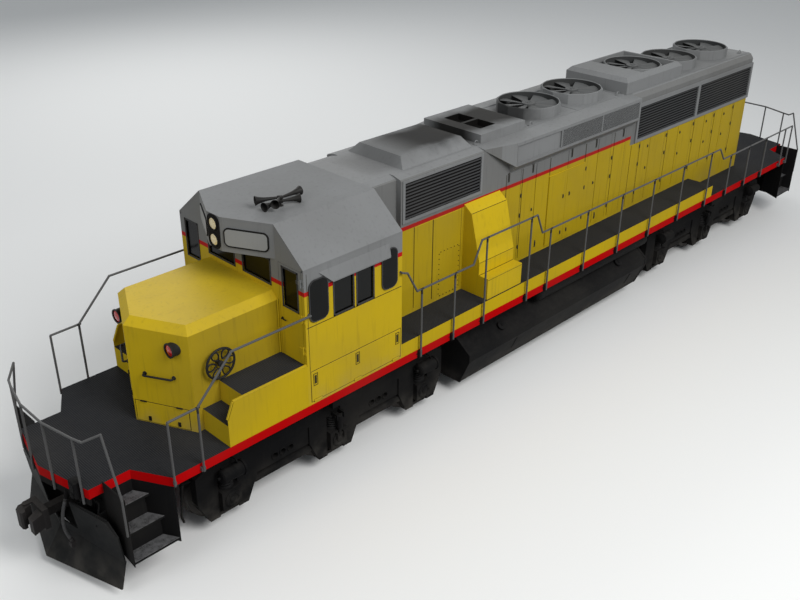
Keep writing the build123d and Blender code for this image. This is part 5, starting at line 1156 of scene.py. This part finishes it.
# Thin dark strips between the rear doors and round them are painted shade in the gaps.
gaps = [on_rear(y - 0.010, y + 0.010, 1.980, 3.210, 0.0015, 0) for y in (-0.575, 0, 0.575)]
gaps += [on_rear(-0.580, 0.580, z - 0.008, z + 0.008, 0.0015, 0) for z in (1.984, 3.206)]
put("rear_door_seams", gaps, recess_shade_paint)


def rung(z, y0=-0.830, y1=-0.640):
    """Grab iron: a round bar bent square at both ends to stand 70 mm off the wall."""
    near, far = REAR_X + 0.001, REAR_X - 0.070
    return tube(rounded([(near, y0, z), (far, y0, z), (far, y1, z), (near, y1, z)], 0.025), 0.013, 8)


put("rear_grab_irons", [rung(z) for z in np.arange(1.960, 3.500, 0.300)], black_paint)

# %% [markdown]
# ## Trucks
# Each truck is a steel casting that stands on a coil spring over each axle box. A spring is a bar of
# round steel wound to a helix, so it is a tube along one. Brake cylinders stand outside the frame and
# press a cast block on each wheel's tread. Sand runs down pipes to the rail at the outer wheels. All of
# it swivels with its truck. The front truck's parts, turned half round, make the rear truck's.

# %% Springs, box covers and brake gear
TRUCK_X = 5.830
AXLES_X = (7.920, 5.830, 3.855)
AXLE_Z = 0.5334
SPRING_Y, SPRING_FOOT, SPRING_TOP = 1.070, 0.7034, 0.970
BOX_FACE_Y, FRAME_FACE_Y, WEB_FACE_Y = 1.2303, 1.140, 1.115
CYLINDER_LENGTH, CYLINDER_Y, CYLINDER_Z = 0.360, 1.285, 1.045
WEB_HOLES_X = [middle + 0.150 * count for middle in (6.875, 4.8425) for count in (-1, 0, 1)]
spring_steel = painted("painted_spring_steel", "1c1c1d", dust=0.06, streaks=0.0, rough=(0.5, 0.8),
                       shine=0.08)

# Turned profiles, each a row of (radius, height) pairs.
SPRING_SEAT = ((0.090, 0), (0.124, 0), (0.124, 0.012), (0.090, 0.016), (0.090, 0))
BOX_COVER = ((0, 0), (0.128, 0), (0.128, 0.016), (0.118, 0.022), (0.092, 0.022), (0.086, 0.014),
             (0.050, 0.012), (0.046, 0.026), (0.030, 0.032), (0, 0.032))
CYLINDER_HEAD = ((0, 0), (0.122, 0), (0.122, 0.016), (0.090, 0.020), (0.060, 0.034), (0, 0.036))
CYLINDER_DOME = ((0, 0), (0.104, 0), (0.092, 0.016), (0.060, 0.028), (0.024, 0.032), (0.024, 0.070),
                 (0, 0.072))
CYLINDER_FLANGE = ((0.104, 0), (0.122, 0), (0.122, 0.016), (0.104, 0.018), (0.104, 0))
DAMPER_TUBE = ((0, 0), (0.026, 0), (0.026, 0.150), (0.050, 0.152), (0.050, 0.370), (0.030, 0.385),
               (0, 0.386))
HOLE_LIP = ((0.052, 0), (0.066, 0), (0.066, 0.010), (0.060, 0.016), (0.052, 0.012), (0.052, 0))


def bolt_ring(centre, axis, radius, count, size=0.014):
    """Six-sided bolt heads evenly round a circle that faces along an axis."""
    side, top = cross_axes(axis)
    head = ((0, 0), (size, 0), (size, 0.009), (0.8 * size, 0.012), (0, 0.012))
    return [turned(head, centre + radius * (math.cos(angle) * side + math.sin(angle) * top), axis, 6)
            for angle in np.linspace(0, 2 * math.pi, count, endpoint=False)]


def axle_box_cover(x):
    """Round end cover on an axle box: a raised rim, a dished middle and six bolts."""
    return [turned(BOX_COVER, (x, BOX_FACE_Y - 0.001, AXLE_Z), OUT, 28),
            *bolt_ring((x, BOX_FACE_Y + 0.020, AXLE_Z), OUT, 0.105, 6)]


def brake_cylinder_ends(x):
    """Bolted head and domed end of a cylinder that lies along X over an axle box, and the pipe to it."""
    low, high = x - CYLINDER_LENGTH / 2, x + CYLINDER_LENGTH / 2
    inner_y, top = CYLINDER_Y - 0.140, CYLINDER_Z + 0.154
    pipe = [(x - 0.10, CYLINDER_Y, top - 0.056), (x - 0.10, CYLINDER_Y, top), (x - 0.10, inner_y, top),
            (x - 0.42, inner_y, top - 0.015)]
    return [turned(CYLINDER_HEAD, (low, CYLINDER_Y, CYLINDER_Z), ASTERN, 24),
            turned(CYLINDER_DOME, (high, CYLINDER_Y, CYLINDER_Z), AHEAD, 24),
            turned(CYLINDER_FLANGE, (low, CYLINDER_Y, CYLINDER_Z), AHEAD, 24, ring=True),
            *bolt_ring((low - 0.014, CYLINDER_Y, CYLINDER_Z), ASTERN, 0.106, 8, 0.009),
            tube(rounded(pipe, 0.03), 0.011, 8)]


def damper(x):
    """Upright damper over the middle axle box: a tube, its thinner rod, and two lugs at each end."""
    y = FRAME_FACE_Y + 0.105
    parts = [turned(DAMPER_TUBE, (x, y, 0.615), UP, 20)]
    for z in (0.625, 0.985):
        parts += [pad(side, z, 0.024, 0.100, FRAME_FACE_Y - 0.001, FRAME_FACE_Y + 0.150)
                  for side in (x - 0.070, x + 0.070)]
        parts.append(bar((x - 0.095, y, z), (x + 0.095, y, z), 0.030, 0.030))
    return parts


def web_shadow(span):
    """Painted shadow: black strips behind the holes and the slot of a web between two axle boxes."""
    return [slab((span[0], 1.026, z0), (span[1], 1.030, z1), edge=0)
            for z0, z1 in ((0.700, 0.845), (0.592, 0.638))]


def brake_shoe(axle_x, toward):
    """Cast block along the tread: a section swept through 34 degrees round the axle, on its hanger."""
    section = ((0.516, 0.690), (0.516, 0.785), (0.572, 0.785), (0.572, 0.690))      # radius and Y
    block = ring_shape([[(axle_x + toward * r * math.cos(a), y, AXLE_Z + r * math.sin(a))
                         for r, y in section]
                        for a in np.radians(np.linspace(-17, 17, 9))])
    x, y = axle_x + toward * 0.600, 0.740
    return [inside_out(block) if toward > 0 else block,
            bar((x, y, AXLE_Z - 0.060), (x, y, 0.980), 0.034, 0.060),
            bar((x, y, 0.900), (x, 1.010, 0.980), 0.040, 0.050)]


def sand_pipe(axle_x, toward):
    """Bent pipe from the frame down to the rail beside a wheel, and the clip that holds it."""
    path = [(axle_x + toward * reach, y, z) for reach, y, z in (
        (0.660, 0.975, 1.120), (0.650, 0.900, 0.620), (0.605, 0.770, 0.260), (0.560, 0.745, 0.120))]
    clip = [(axle_x + toward * reach, y, 1.020) for reach, y in ((0.670, 0.975), (0.480, 1.010))]
    return [tube(rounded(path, 0.10), 0.019, 8), bar(*clip, 0.060, 0.030)]


springs = [coil((x, SPRING_Y, SPRING_FOOT + 0.014), 0.106, 0.026, SPRING_TOP - SPRING_FOOT - 0.028, 5.5)
           for x in AXLES_X]
springs += [turned(SPRING_SEAT, (x, SPRING_Y, z), UP, 24, ring=True)
            for x in AXLES_X for z in (SPRING_FOOT - 0.002, SPRING_TOP - 0.016)]
hole_lips = [turned(HOLE_LIP, (x, WEB_FACE_Y - 0.001, 0.772), OUT, 24, ring=True) for x in WEB_HOLES_X]
shoes = [part for x, toward in zip(AXLES_X, (-1, 1, 1)) for part in brake_shoe(x, toward)]
TRUCK_PARTS = (("springs", springs, spring_steel),
               ("axle_box_covers", gather(axle_box_cover, AXLES_X), truck_paint),
               ("brake_cylinder_ends", gather(brake_cylinder_ends, AXLES_X[::2]), truck_paint),
               ("dampers", damper(TRUCK_X - 0.010), truck_paint),
               ("web_hole_lips", hole_lips, truck_paint),
               ("web_recesses", gather(web_shadow, ((6.380, 7.370), (4.405, 5.280))), shadow_paint),
               ("brake_shoes", shoes, iron),
               ("sand_pipes", sand_pipe(AXLES_X[0], 1) + sand_pipe(AXLES_X[2], -1), truck_paint))
for kind, shapes, finish in TRUCK_PARTS:
    front = both_sides(shapes)
    put(f"{kind}_front", front, finish, body="truck_front")
    put(f"{kind}_rear", turned_round(front), finish, body="truck_rear")

# %% [markdown]
# ## Tank, pipes and steps
# The tank is welded plate with an upright rib near each end, filler caps on its slope and sight glasses
# low on its side. Air pipes run along under the sill. The steps' treads are pressed plate, worn to
# paler steel.

# %% Tank fittings and air pipes
TANK_EDGE = ((1.250, 0.290), (1.465, 0.790), (1.465, 0.930), (1.130, 1.180))     # Y and Z, upward
SLOPE_OUT = unit((0, TANK_EDGE[3][1] - TANK_EDGE[2][1], TANK_EDGE[2][0] - TANK_EDGE[3][0]))
FILLER = ((0, -0.01), (0.075, -0.01), (0.075, 0.030), (0.088, 0.032), (0.088, 0.052), (0.060, 0.064),
          (0.030, 0.066), (0.030, 0.080), (0, 0.082))
SILL_PIPES = ((1.400, 1.482, 0.020), (1.345, 1.486, 0.014))     # Y, Z and radius


def tank_rib(x):
    """Flat rib that follows the tank's side, standing a few millimetres proud."""
    return [bar((x, y0, z0), (x, y1, z1), 0.050, 0.014, up=(0, z1 - z0, y0 - y1))
            for (y0, z0), (y1, z1) in zip(TANK_EDGE, TANK_EDGE[1:])]


def tank_filler(x):
    """Filler cap square to the tank's slope, and the sight glass a little astern of it."""
    return [turned(FILLER, (x, 1.300, 1.053), SLOPE_OUT, 24),
            bar((x - 0.35, 1.330, 0.475), (x - 0.35, 1.440, 0.731), 0.045, 0.016, up=(0, 0.92, -0.40))]


put("tank_ribs_and_fillers", both_sides(gather(tank_rib, (-2.775, 2.925))
                                        + gather(tank_filler, (1.900, -1.900))),
    tank_paint)
sill_pipes = []
for y, z, radius in SILL_PIPES:
    sill_pipes.append(tube([(x, y, z) for x in (-8.80, 0, 8.80)], radius, 8))
    sill_pipes += [bar((x, y - 0.05, 1.505), (x, y + 0.05, 1.505), 0.030, 0.012)
                   for x in np.arange(-8.4, 8.5, 1.2)]
put("sill_air_pipes", both_sides(sill_pipes), black_paint)

# %% Step treads
END_SHEET_X, WELL_X, SHOULDER_X = 9.690, 9.293, 8.985
SIDE_Y, WELL_Y = 1.497, 0.947
TREADS = ((0.635, 1.497), (0.977, 1.330), (1.318, 1.163))               # height and outer Y
RISERS = ((0.600, 0.977, 1.272), (0.942, 1.318, 1.105), (1.283, 1.500, 0.953))      # two heights and Y


def worn_step_plate():
    """Pressed steel tread worn bright in specks: cells 12 mm across, high points paler than the pits."""
    material, tree, shader, place = start_material("pressed_step_plate")
    cells = add(tree, "TexVoronoi", {0: place, 2: 1 / 0.012})
    rubbed = add(tree, "TexNoise", {0: place, 2: 1 / 0.08, 3: 4})
    worn = add(tree, "Math", (add(tree, "MapRange", (cells, 0.25, 0.6), **SMOOTH),
                              add(tree, "MapRange", (rubbed, 0.3, 0.7), **SMOOTH)), operation="MULTIPLY")
    colour = add(tree, "Mix", {0: worn, 6: "5f5f60", 7: "2c2c2d"}, 2, **MIX)
    weather(shader, place, colour, dust=0.03, streaks=0.0, rough=(0.45, 0.7), shine=0.25)
    return material


tread_steel = worn_step_plate()


def well_x(y):
    """X of the slanted rear plate of a step well at a distance from the centreline."""
    return SHOULDER_X + (SIDE_Y - y) / (SIDE_Y - WELL_Y) * (WELL_X - SHOULDER_X)


def step_tread(tread):
    """Thin plate from the well's slanted back to the end sheet, with a bead along its outer edge."""
    level, outer = tread
    inner = max(outer - 0.230, WELL_Y) + 0.010
    front, back, back_inner = END_SHEET_X - 0.006, well_x(outer) + 0.012, well_x(inner) + 0.012
    outline = [(back, outer - 0.004), (back_inner, inner), (front, inner), (front, outer - 0.004)]
    return [plate(outline, 2, level + 0.0002, 0.004),
            bar((back, outer - 0.005, level + 0.001), (front, outer - 0.005, level + 0.001), 0.010,
                0.012)]


put("step_tread_plates", both_ends(both_sides(gather(step_tread, TREADS))), tread_steel)
risers = [slab((well_x(y) + 0.014, y - 0.004, low), (END_SHEET_X - 0.004, y, high), edge=0.2)
          for low, high, y in RISERS]
put("step_risers", both_ends(both_sides(risers)), dark_paint)

# %% [markdown]
# ## Coupler gear and hose
# A lever above each coupler lifts its lock: a bent rod in two eyes on the end sheet. The brake hose is
# rubber over braid, hangs from an iron pipe beside the coupler and ends in a cast coupling. It is a
# smooth curve through the same points as its solid.

# %% Uncoupling levers and end fittings
LEVER_X, LEVER_Z = 9.770, 1.330
LEVER_PATH = ((LEVER_X + 0.10, 0.930, 1.020), (LEVER_X, 0.905, LEVER_Z), (LEVER_X, 0.560, LEVER_Z),
              (LEVER_X, 0.060, LEVER_Z), (LEVER_X + 0.130, 0.000, 1.180))
lever = [tube(rounded(LEVER_PATH, 0.05), 0.013, 8)]
lever += [bar((END_SHEET_X + 0.010, y, LEVER_Z), (LEVER_X + 0.020, y, LEVER_Z), 0.030, 0.040)
          for y in (0.830, 0.230)]
cock = [tube(rounded([(9.700, 0.500, 1.400), (9.960, 0.500, 1.400), (10.030, 0.500, 1.340)], 0.06),
             0.028, 12),
        turned(((0, 0), (0.040, 0), (0.040, 0.050), (0, 0.050)), (9.930, 0.475, 1.400), OUT, 12),
        bar((9.930, 0.470, 1.405), (9.830, 0.440, 1.450), 0.018, 0.010)]
socket = [slab((9.900, 0.630, 1.470), (10.020, 0.800, 1.735)),
          slab((10.018, 0.655, 1.560), (10.030, 0.775, 1.700)),
          turned(((0, 0), (0.045, 0), (0.045, 0.020), (0.036, 0.024), (0, 0.024)),
                 (10.018, 0.715, 1.515), AHEAD, 20)]
put("end_sheet_gear", both_ends(lever + cock + socket), dark_paint)

# %% Guard lips, pilot plates and plow rim
GUARD_Z = 2.345
guard = [slab((6.626, 1.462, GUARD_Z + 0.006), (7.934, 1.497, GUARD_Z + 0.034)),
         bar((7.934, 1.480, GUARD_Z + 0.014), (8.043, 1.480, 2.112), 0.034, 0.028, up=(0.9, 0, 0.43)),
         tube([(6.638, 0.904, GUARD_Z + 0.010), (6.638, 0.904, 3.240)], 0.011, 8)]
put("guard_lips", both_sides(guard), yellow_paint)
pilot = both_sides([slab((9.700, 0.190, 0.480), (9.714, 0.620, 1.180))])
pilot.append(slab((9.700, -0.620, 0.200), (9.714, 0.620, 0.500)))
put("pilot_plates", both_ends(pilot), dark_paint)
PLOW_NOTCH, PLOW_MIDDLE, PLOW_SHOULDER, PLOW_CORNER = 0.440, (10.060, 0, 1.200), (9.815, 1.140,
                                                                                  1.200), (9.785,
                                                                                           1.330, 1.010)
notch_share = PLOW_NOTCH / PLOW_SHOULDER[1]
notch_x = PLOW_MIDDLE[0] + (PLOW_SHOULDER[0] - PLOW_MIDDLE[0]) * notch_share
plow_rim = [bar((notch_x, PLOW_NOTCH, PLOW_MIDDLE[2]), PLOW_SHOULDER, 0.022, 0.040),
            bar(PLOW_SHOULDER, PLOW_CORNER, 0.022, 0.040, up=(0, 1, 1))]
put("plow_rim", both_sides(plow_rim), plow_paint)

# %% Rail clamps and post feet
RAIL_Y, SILL_FACE_Y = 1.547, 1.4965
POST_TOPS = [(x, 2.785) for x in (4.285, 3.497, 0.922, -0.236, -1.403, -2.561, -3.727, -4.893)]
POST_TOPS += [(x, 3.175) for x in (2.718, 1.522)] + [(x, 2.503) for x in (-5.846, -6.736, -7.583)]
FOOT_BOLT = ((0, 0), (0.010, 0), (0.010, 0.008), (0, 0.008))


def rail_clamp(top):
    """Cast clamp at a post's top: a sleeve round the rail and one round the post below it."""
    x, z = top
    sleeves = ([(x - 0.032, RAIL_Y, z), (x + 0.032, RAIL_Y, z)],
               [(x, RAIL_Y, z - 0.085), (x, RAIL_Y, z - 0.010)])
    return [tube(sleeve, 0.0178, 10) for sleeve in sleeves]


def post_foot(top):
    """Dark forged foot: a block round the post over the sill, with two bolts beside it."""
    return [pad(top[0], 1.585, 0.068, 0.130, SILL_FACE_Y, 1.552),
            *(turned(FOOT_BOLT, (top[0] + step, SILL_FACE_Y, 1.585), OUT, 6)
              for step in (-0.050, 0.050))]


put("rail_clamps", both_sides(gather(rail_clamp, (*POST_TOPS, (8.524, 2.580)))), black_paint)
put("rail_post_feet", both_sides(gather(post_foot, POST_TOPS)), dark_paint)

# %% Brake hose
HOSE_DIAMETER, HOSE_LENGTH = 0.048, 0.718
HOSE_POINTS = [(10.035, 0.500, 1.345), (10.088, 0.500, 1.220), (10.126, 0.500, 1.078),
               (10.136, 0.500, 0.930), (10.118, 0.500, 0.784), (10.072, 0.500, 0.650)]
HOSE_BAND = ((0.0235, 0), (0.0275, 0), (0.0275, 0.022), (0.0235, 0.022), (0.0235, 0))


def hose_rubber():
    """Rubber over cotton braid: black and dull, with rows of thread 2.5 mm apart as a fine bump."""
    material = mottled("braided_rubber_hose", 0.05, 4, (0.4, 0.8), ("1a1a1b", "333334"),
                       {"Roughness": 0.7})
    tree = material.node_tree
    threads = add(tree, "TexWave", {0: add(tree, "TexCoord", out="Object"), 1: 1 / 0.008, 2: 2}, 1)
    fill(tree.nodes["Principled BSDF"],
         {"Normal": add(tree, "Bump", {"Strength": 0.4, "Distance": 0.0006, "Height": threads})})
    return material


curve = bpy.data.curves.new("brake_hose_line", "CURVE")
curve.dimensions = "3D"
spline = curve.splines.new("NURBS")
spline.points.add(len(HOSE_POINTS) - 1)
for point, place in zip(spline.points, HOSE_POINTS):
    point.co = (*place, 1)
spline.order_u, spline.use_endpoint_u, spline.resolution_u = 3, True, 10
curve.bevel_depth, curve.bevel_resolution, curve.use_fill_caps = HOSE_DIAMETER / 2, 4, True
curve.materials.append(hose_rubber())
hose = linked("air_hose", curve)
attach(hose, "locomotive")
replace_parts(hose, "brake_hose")


def hose_band(ends):
    """Clamp round the hose 20 mm from one of its ends."""
    along = unit(np.subtract(ends[1], ends[0]))
    return [turned(HOSE_BAND, np.asarray(ends[0]) + 0.020 * along, along, 20, ring=True)]


hose_bands = put("hose_bands", gather(hose_band, (HOSE_POINTS[:2], HOSE_POINTS[:-3:-1])), iron)
print("hose of", len(HOSE_POINTS), "points")

# %% [markdown]
# ## Hand brake wheel
# The wheel is one cast ring with six looped spokes. Each loop is a bent rod from the hub out to the rim
# and back, so the wheel is a ring, a hub and six closed tubes.

# %% Hand brake
WHEEL_PLACE = np.array((7.735, 0.975, 2.660))
WHEEL_RIM = 0.018
WHEEL_RADIUS = 0.250 - WHEEL_RIM
HUB = ((0, 0), (0.030, 0), (0.036, 0.010), (0.036, 0.075), (0.046, 0.082), (0.046, 0.100),
       (0.020, 0.108),
       (0.020, 0.120), (0, 0.122))


def in_wheel(reach, angle, proud=0.0):
    """Points in the wheel's plane at a reach and angle from its middle, moved out along its axle."""
    x, y, z = np.broadcast_arrays(reach * np.cos(angle), proud, reach * np.sin(angle))
    return WHEEL_PLACE + np.stack([x, y, z], -1)


def spoke_loop(angle):
    """Petal of rod: it leaves the hub, swells to a ninth of a turn across and meets the rim."""
    share = np.linspace(0, 2 * math.pi, 25)[:-1]
    swing = math.radians(angle) + math.radians(20) * np.sin(share)
    loop = in_wheel(0.150 - 0.075 * np.cos(share), swing, 0.012 * np.sin(share / 2) - 0.006)
    return tube([*loop, loop[0]], 0.0125, 6)


wheel_parts = [tube(in_wheel(WHEEL_RADIUS, np.linspace(0, 2 * math.pi, 49)), WHEEL_RIM, 10),
               turned(HUB, WHEEL_PLACE - (0, 0.085, 0), OUT, 20)]
wheel_parts += [spoke_loop(angle) for angle in range(0, 360, 60)]
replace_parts(put("hand_brake_wheel", wheel_parts, black_paint), "brake_wheel")

# %% [markdown]
# ## Crew seats and control stand
# A crew seat is foam under vinyl. Its cushion is fullest in the middle and pulls in at the corners, with
# a welt round its edge. It is a rounded box worked out as one closed surface: a circle's points pushed
# toward a square, and the height of a dome that falls off near the edge.

# %% Seats
SEAT_PLACES = ((5.900, -1.000), (5.900, 1.000), (5.150, 1.000))
SEAT_FLOOR, SEAT_LEVEL = 2.345, 2.765
SEAT_SIZE, BACK_SIZE = (0.440, 0.450, 0.110), (0.085, 0.430, 0.520)
PEDESTAL = ((0, 0), (0.110, 0), (0.105, 0.015), (0.060, 0.030), (0.055, 0.200), (0.038, 0.205),
            (0.038, 0.390), (0.120, 0.400), (0.120, 0.415), (0, 0.415))


def swollen(values, power=0.5):
    """Sines or cosines raised to a power, signs kept, which pushes a circle toward a square."""
    return np.sign(values) * np.abs(values) ** power


def cushion(centre, size):
    """Crowned pad: a superellipse of power 4 whose thickness swells as a dome, closed at two poles."""
    u = np.linspace(-math.pi / 2, math.pi / 2, 17)[1:-1, None]
    v = np.linspace(0, 2 * math.pi, 41)[None, :-1]
    ring = np.cos(u) ** 0.45
    x, y, z = np.broadcast_arrays(ring * swollen(np.cos(v)), ring * swollen(np.sin(v)),
                                  swollen(np.sin(u), 0.6))
    return ring_shape(np.stack([x, y, z], -1) * size / 2 + centre)


def welt(centre, size):
    """Cord along the widest line of a seat cushion."""
    v = np.linspace(0, 2 * math.pi, 49)
    path = np.stack([swollen(np.cos(v)), swollen(np.sin(v)), 0 * v], -1)
    return tube(path * size / 2 + centre, 0.005, 6)


def pedestal(x, y):
    """Turned stem under a seat, and the flat bar that carries its back."""
    return [turned(PEDESTAL, (x, y, SEAT_FLOOR), UP, 24),
            bar((x - 0.215, y, SEAT_LEVEL + 0.010), (x - 0.262, y, SEAT_LEVEL + 0.520), 0.060, 0.020)]


seats = [(x + 0.005, y, SEAT_LEVEL + 0.052) for x, y in SEAT_PLACES]
backs = [(x - 0.243, y, SEAT_LEVEL + 0.355) for x, y in SEAT_PLACES]
pads = [part for seat, back in zip(seats, backs)
        for part in (cushion(seat, SEAT_SIZE), cushion(back, BACK_SIZE))]
seat_pads = put("seat_cushions", pads, seat_vinyl, smooth_angle=60)
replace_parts(seat_pads, "cab_interior")
put("seat_welts", [welt(seat, SEAT_SIZE) for seat in seats], rubber_black)
put("seat_pedestals", [part for place in SEAT_PLACES for part in pedestal(*place)], dark_paint)

# %% Control stand
STAND_X, STAND_Y, STAND_TOP = (5.955, 6.445), (-0.635, -0.255), 3.390
GAUGE = ((0, 0), (0.032, 0), (0.032, 0.008), (0.026, 0.012), (0, 0.010))
side_view = [(STAND_X[0], SEAT_FLOOR), (STAND_X[1], SEAT_FLOOR), (STAND_X[1], STAND_TOP),
             (6.250, STAND_TOP), (6.050, 3.250), (STAND_X[0], 3.230)]
stand = [plate(side_view, 1, STAND_Y[0], STAND_Y[1] - STAND_Y[0])]
stand += [bar((6.000, y, 3.235), (5.990, y + 0.02, 3.330), 0.014, 0.014)
          for y in (-0.560, -0.470, -0.380)]
stand += [turned(GAUGE, (6.148, y, 3.318), (-0.57, 0, 0.82), 18)
          for y in (-0.570, -0.480, -0.390, -0.310)]
put("control_stand", stand, dark_paint)


# %% [markdown]
# ## Floor, light and camera
# A plain pale floor shows white to the camera but lights the object only as a grey card would. Three
# broad soft lamps and a dim sky give a plain studio light. The camera stands ahead and to the left,
# above the roof, and looks down along the side.

# %% Floor and light
def seen_or_lit(tree, lit, seen):
    """Colour that lights the object as one grey, and that camera and reflections see as a pale one."""
    path = add(tree, "LightPath", out=None)
    direct = path["Is Camera Ray"]
    for ray in ("Is Glossy Ray", "Is Transmission Ray"):
        direct = add(tree, "Math", (direct, path[ray]), operation="MAXIMUM")
    return add(tree, "Mix", {0: direct, 6: lit, 7: seen}, 2, **MIX)


floor_paint, floor_tree, floor_shader, _ = start_material("pale_floor_paint")
fill(floor_shader, {"Base Color": seen_or_lit(floor_tree, "6a6a6a", "f0f0ee"), "Roughness": 0.95,
                    "Specular IOR Level": 0.1})
FLOOR_REACH = 90
floor_mesh = bpy.data.meshes.new("floor")
corners = [(FLOOR_REACH * x, FLOOR_REACH * y, 0) for x, y in ((-1, -1), (1, -1), (1, 1), (-1, 1))]
floor_mesh.from_pydata(corners, [], [(0, 1, 2, 3)])
floor_mesh.materials.append(floor_paint)
linked("floor", floor_mesh)


def stand_at(thing, place, side, top, back):
    """Put a lamp or the camera at a place, with its own X, Y and Z along three unit vectors."""
    rows = zip(np.stack([side, top, back], 1), place)
    thing.matrix_world = Matrix([(*row, at) for row, at in rows] + [(0, 0, 0, 1)])


def soft_lamp(name, place, aim, size, power):
    """Square area lamp turned to face the aim."""
    data = bpy.data.lights.new(name, "AREA")
    data.size, data.energy = size, power
    back = unit(np.subtract(place, aim))
    side = unit(np.cross(UP, back))
    stand_at(linked(name, data), place, side, np.cross(back, side), back)


soft_lamp("lamp_left", (4, 21, 21), (0, 0, 2), 13, 5900)
soft_lamp("lamp_nose", (26, 4, 16), (4, 0, 2), 12, 1100)
soft_lamp("lamp_right", (-6, -24, 18), (0, 0, 2), 14, 2000)
world = bpy.data.worlds.new("sky")
world.use_nodes = True
bpy.context.scene.world = world
sky = world.node_tree
fill(sky.nodes["Background"], {"Color": seen_or_lit(sky, "979b9f", "f2f2f0"), "Strength": 1.0})

# %% Camera
CAMERA_PLACE = (13.960, 10.616, 9.665)
CAMERA_YAW, CAMERA_PITCH, CAMERA_ROLL = (math.radians(angle) for angle in (-135.354, -28.108, 0.418))
ahead = np.array([math.cos(CAMERA_PITCH) * math.cos(CAMERA_YAW),
                  math.cos(CAMERA_PITCH) * math.sin(CAMERA_YAW), math.sin(CAMERA_PITCH)])
level_side = unit(np.cross(ahead, UP))
level_up = np.cross(level_side, ahead)
side = level_side * math.cos(CAMERA_ROLL) + level_up * math.sin(CAMERA_ROLL)
top = level_up * math.cos(CAMERA_ROLL) - level_side * math.sin(CAMERA_ROLL)
camera_data = bpy.data.cameras.new("camera")
camera_data.sensor_width, camera_data.lens, camera_data.clip_end = 36, 42.70, 300
camera = linked("camera", camera_data)
stand_at(camera, CAMERA_PLACE, side, top, -ahead)
bpy.context.scene.camera = camera
bpy.context.scene.view_settings.view_transform = "Standard"
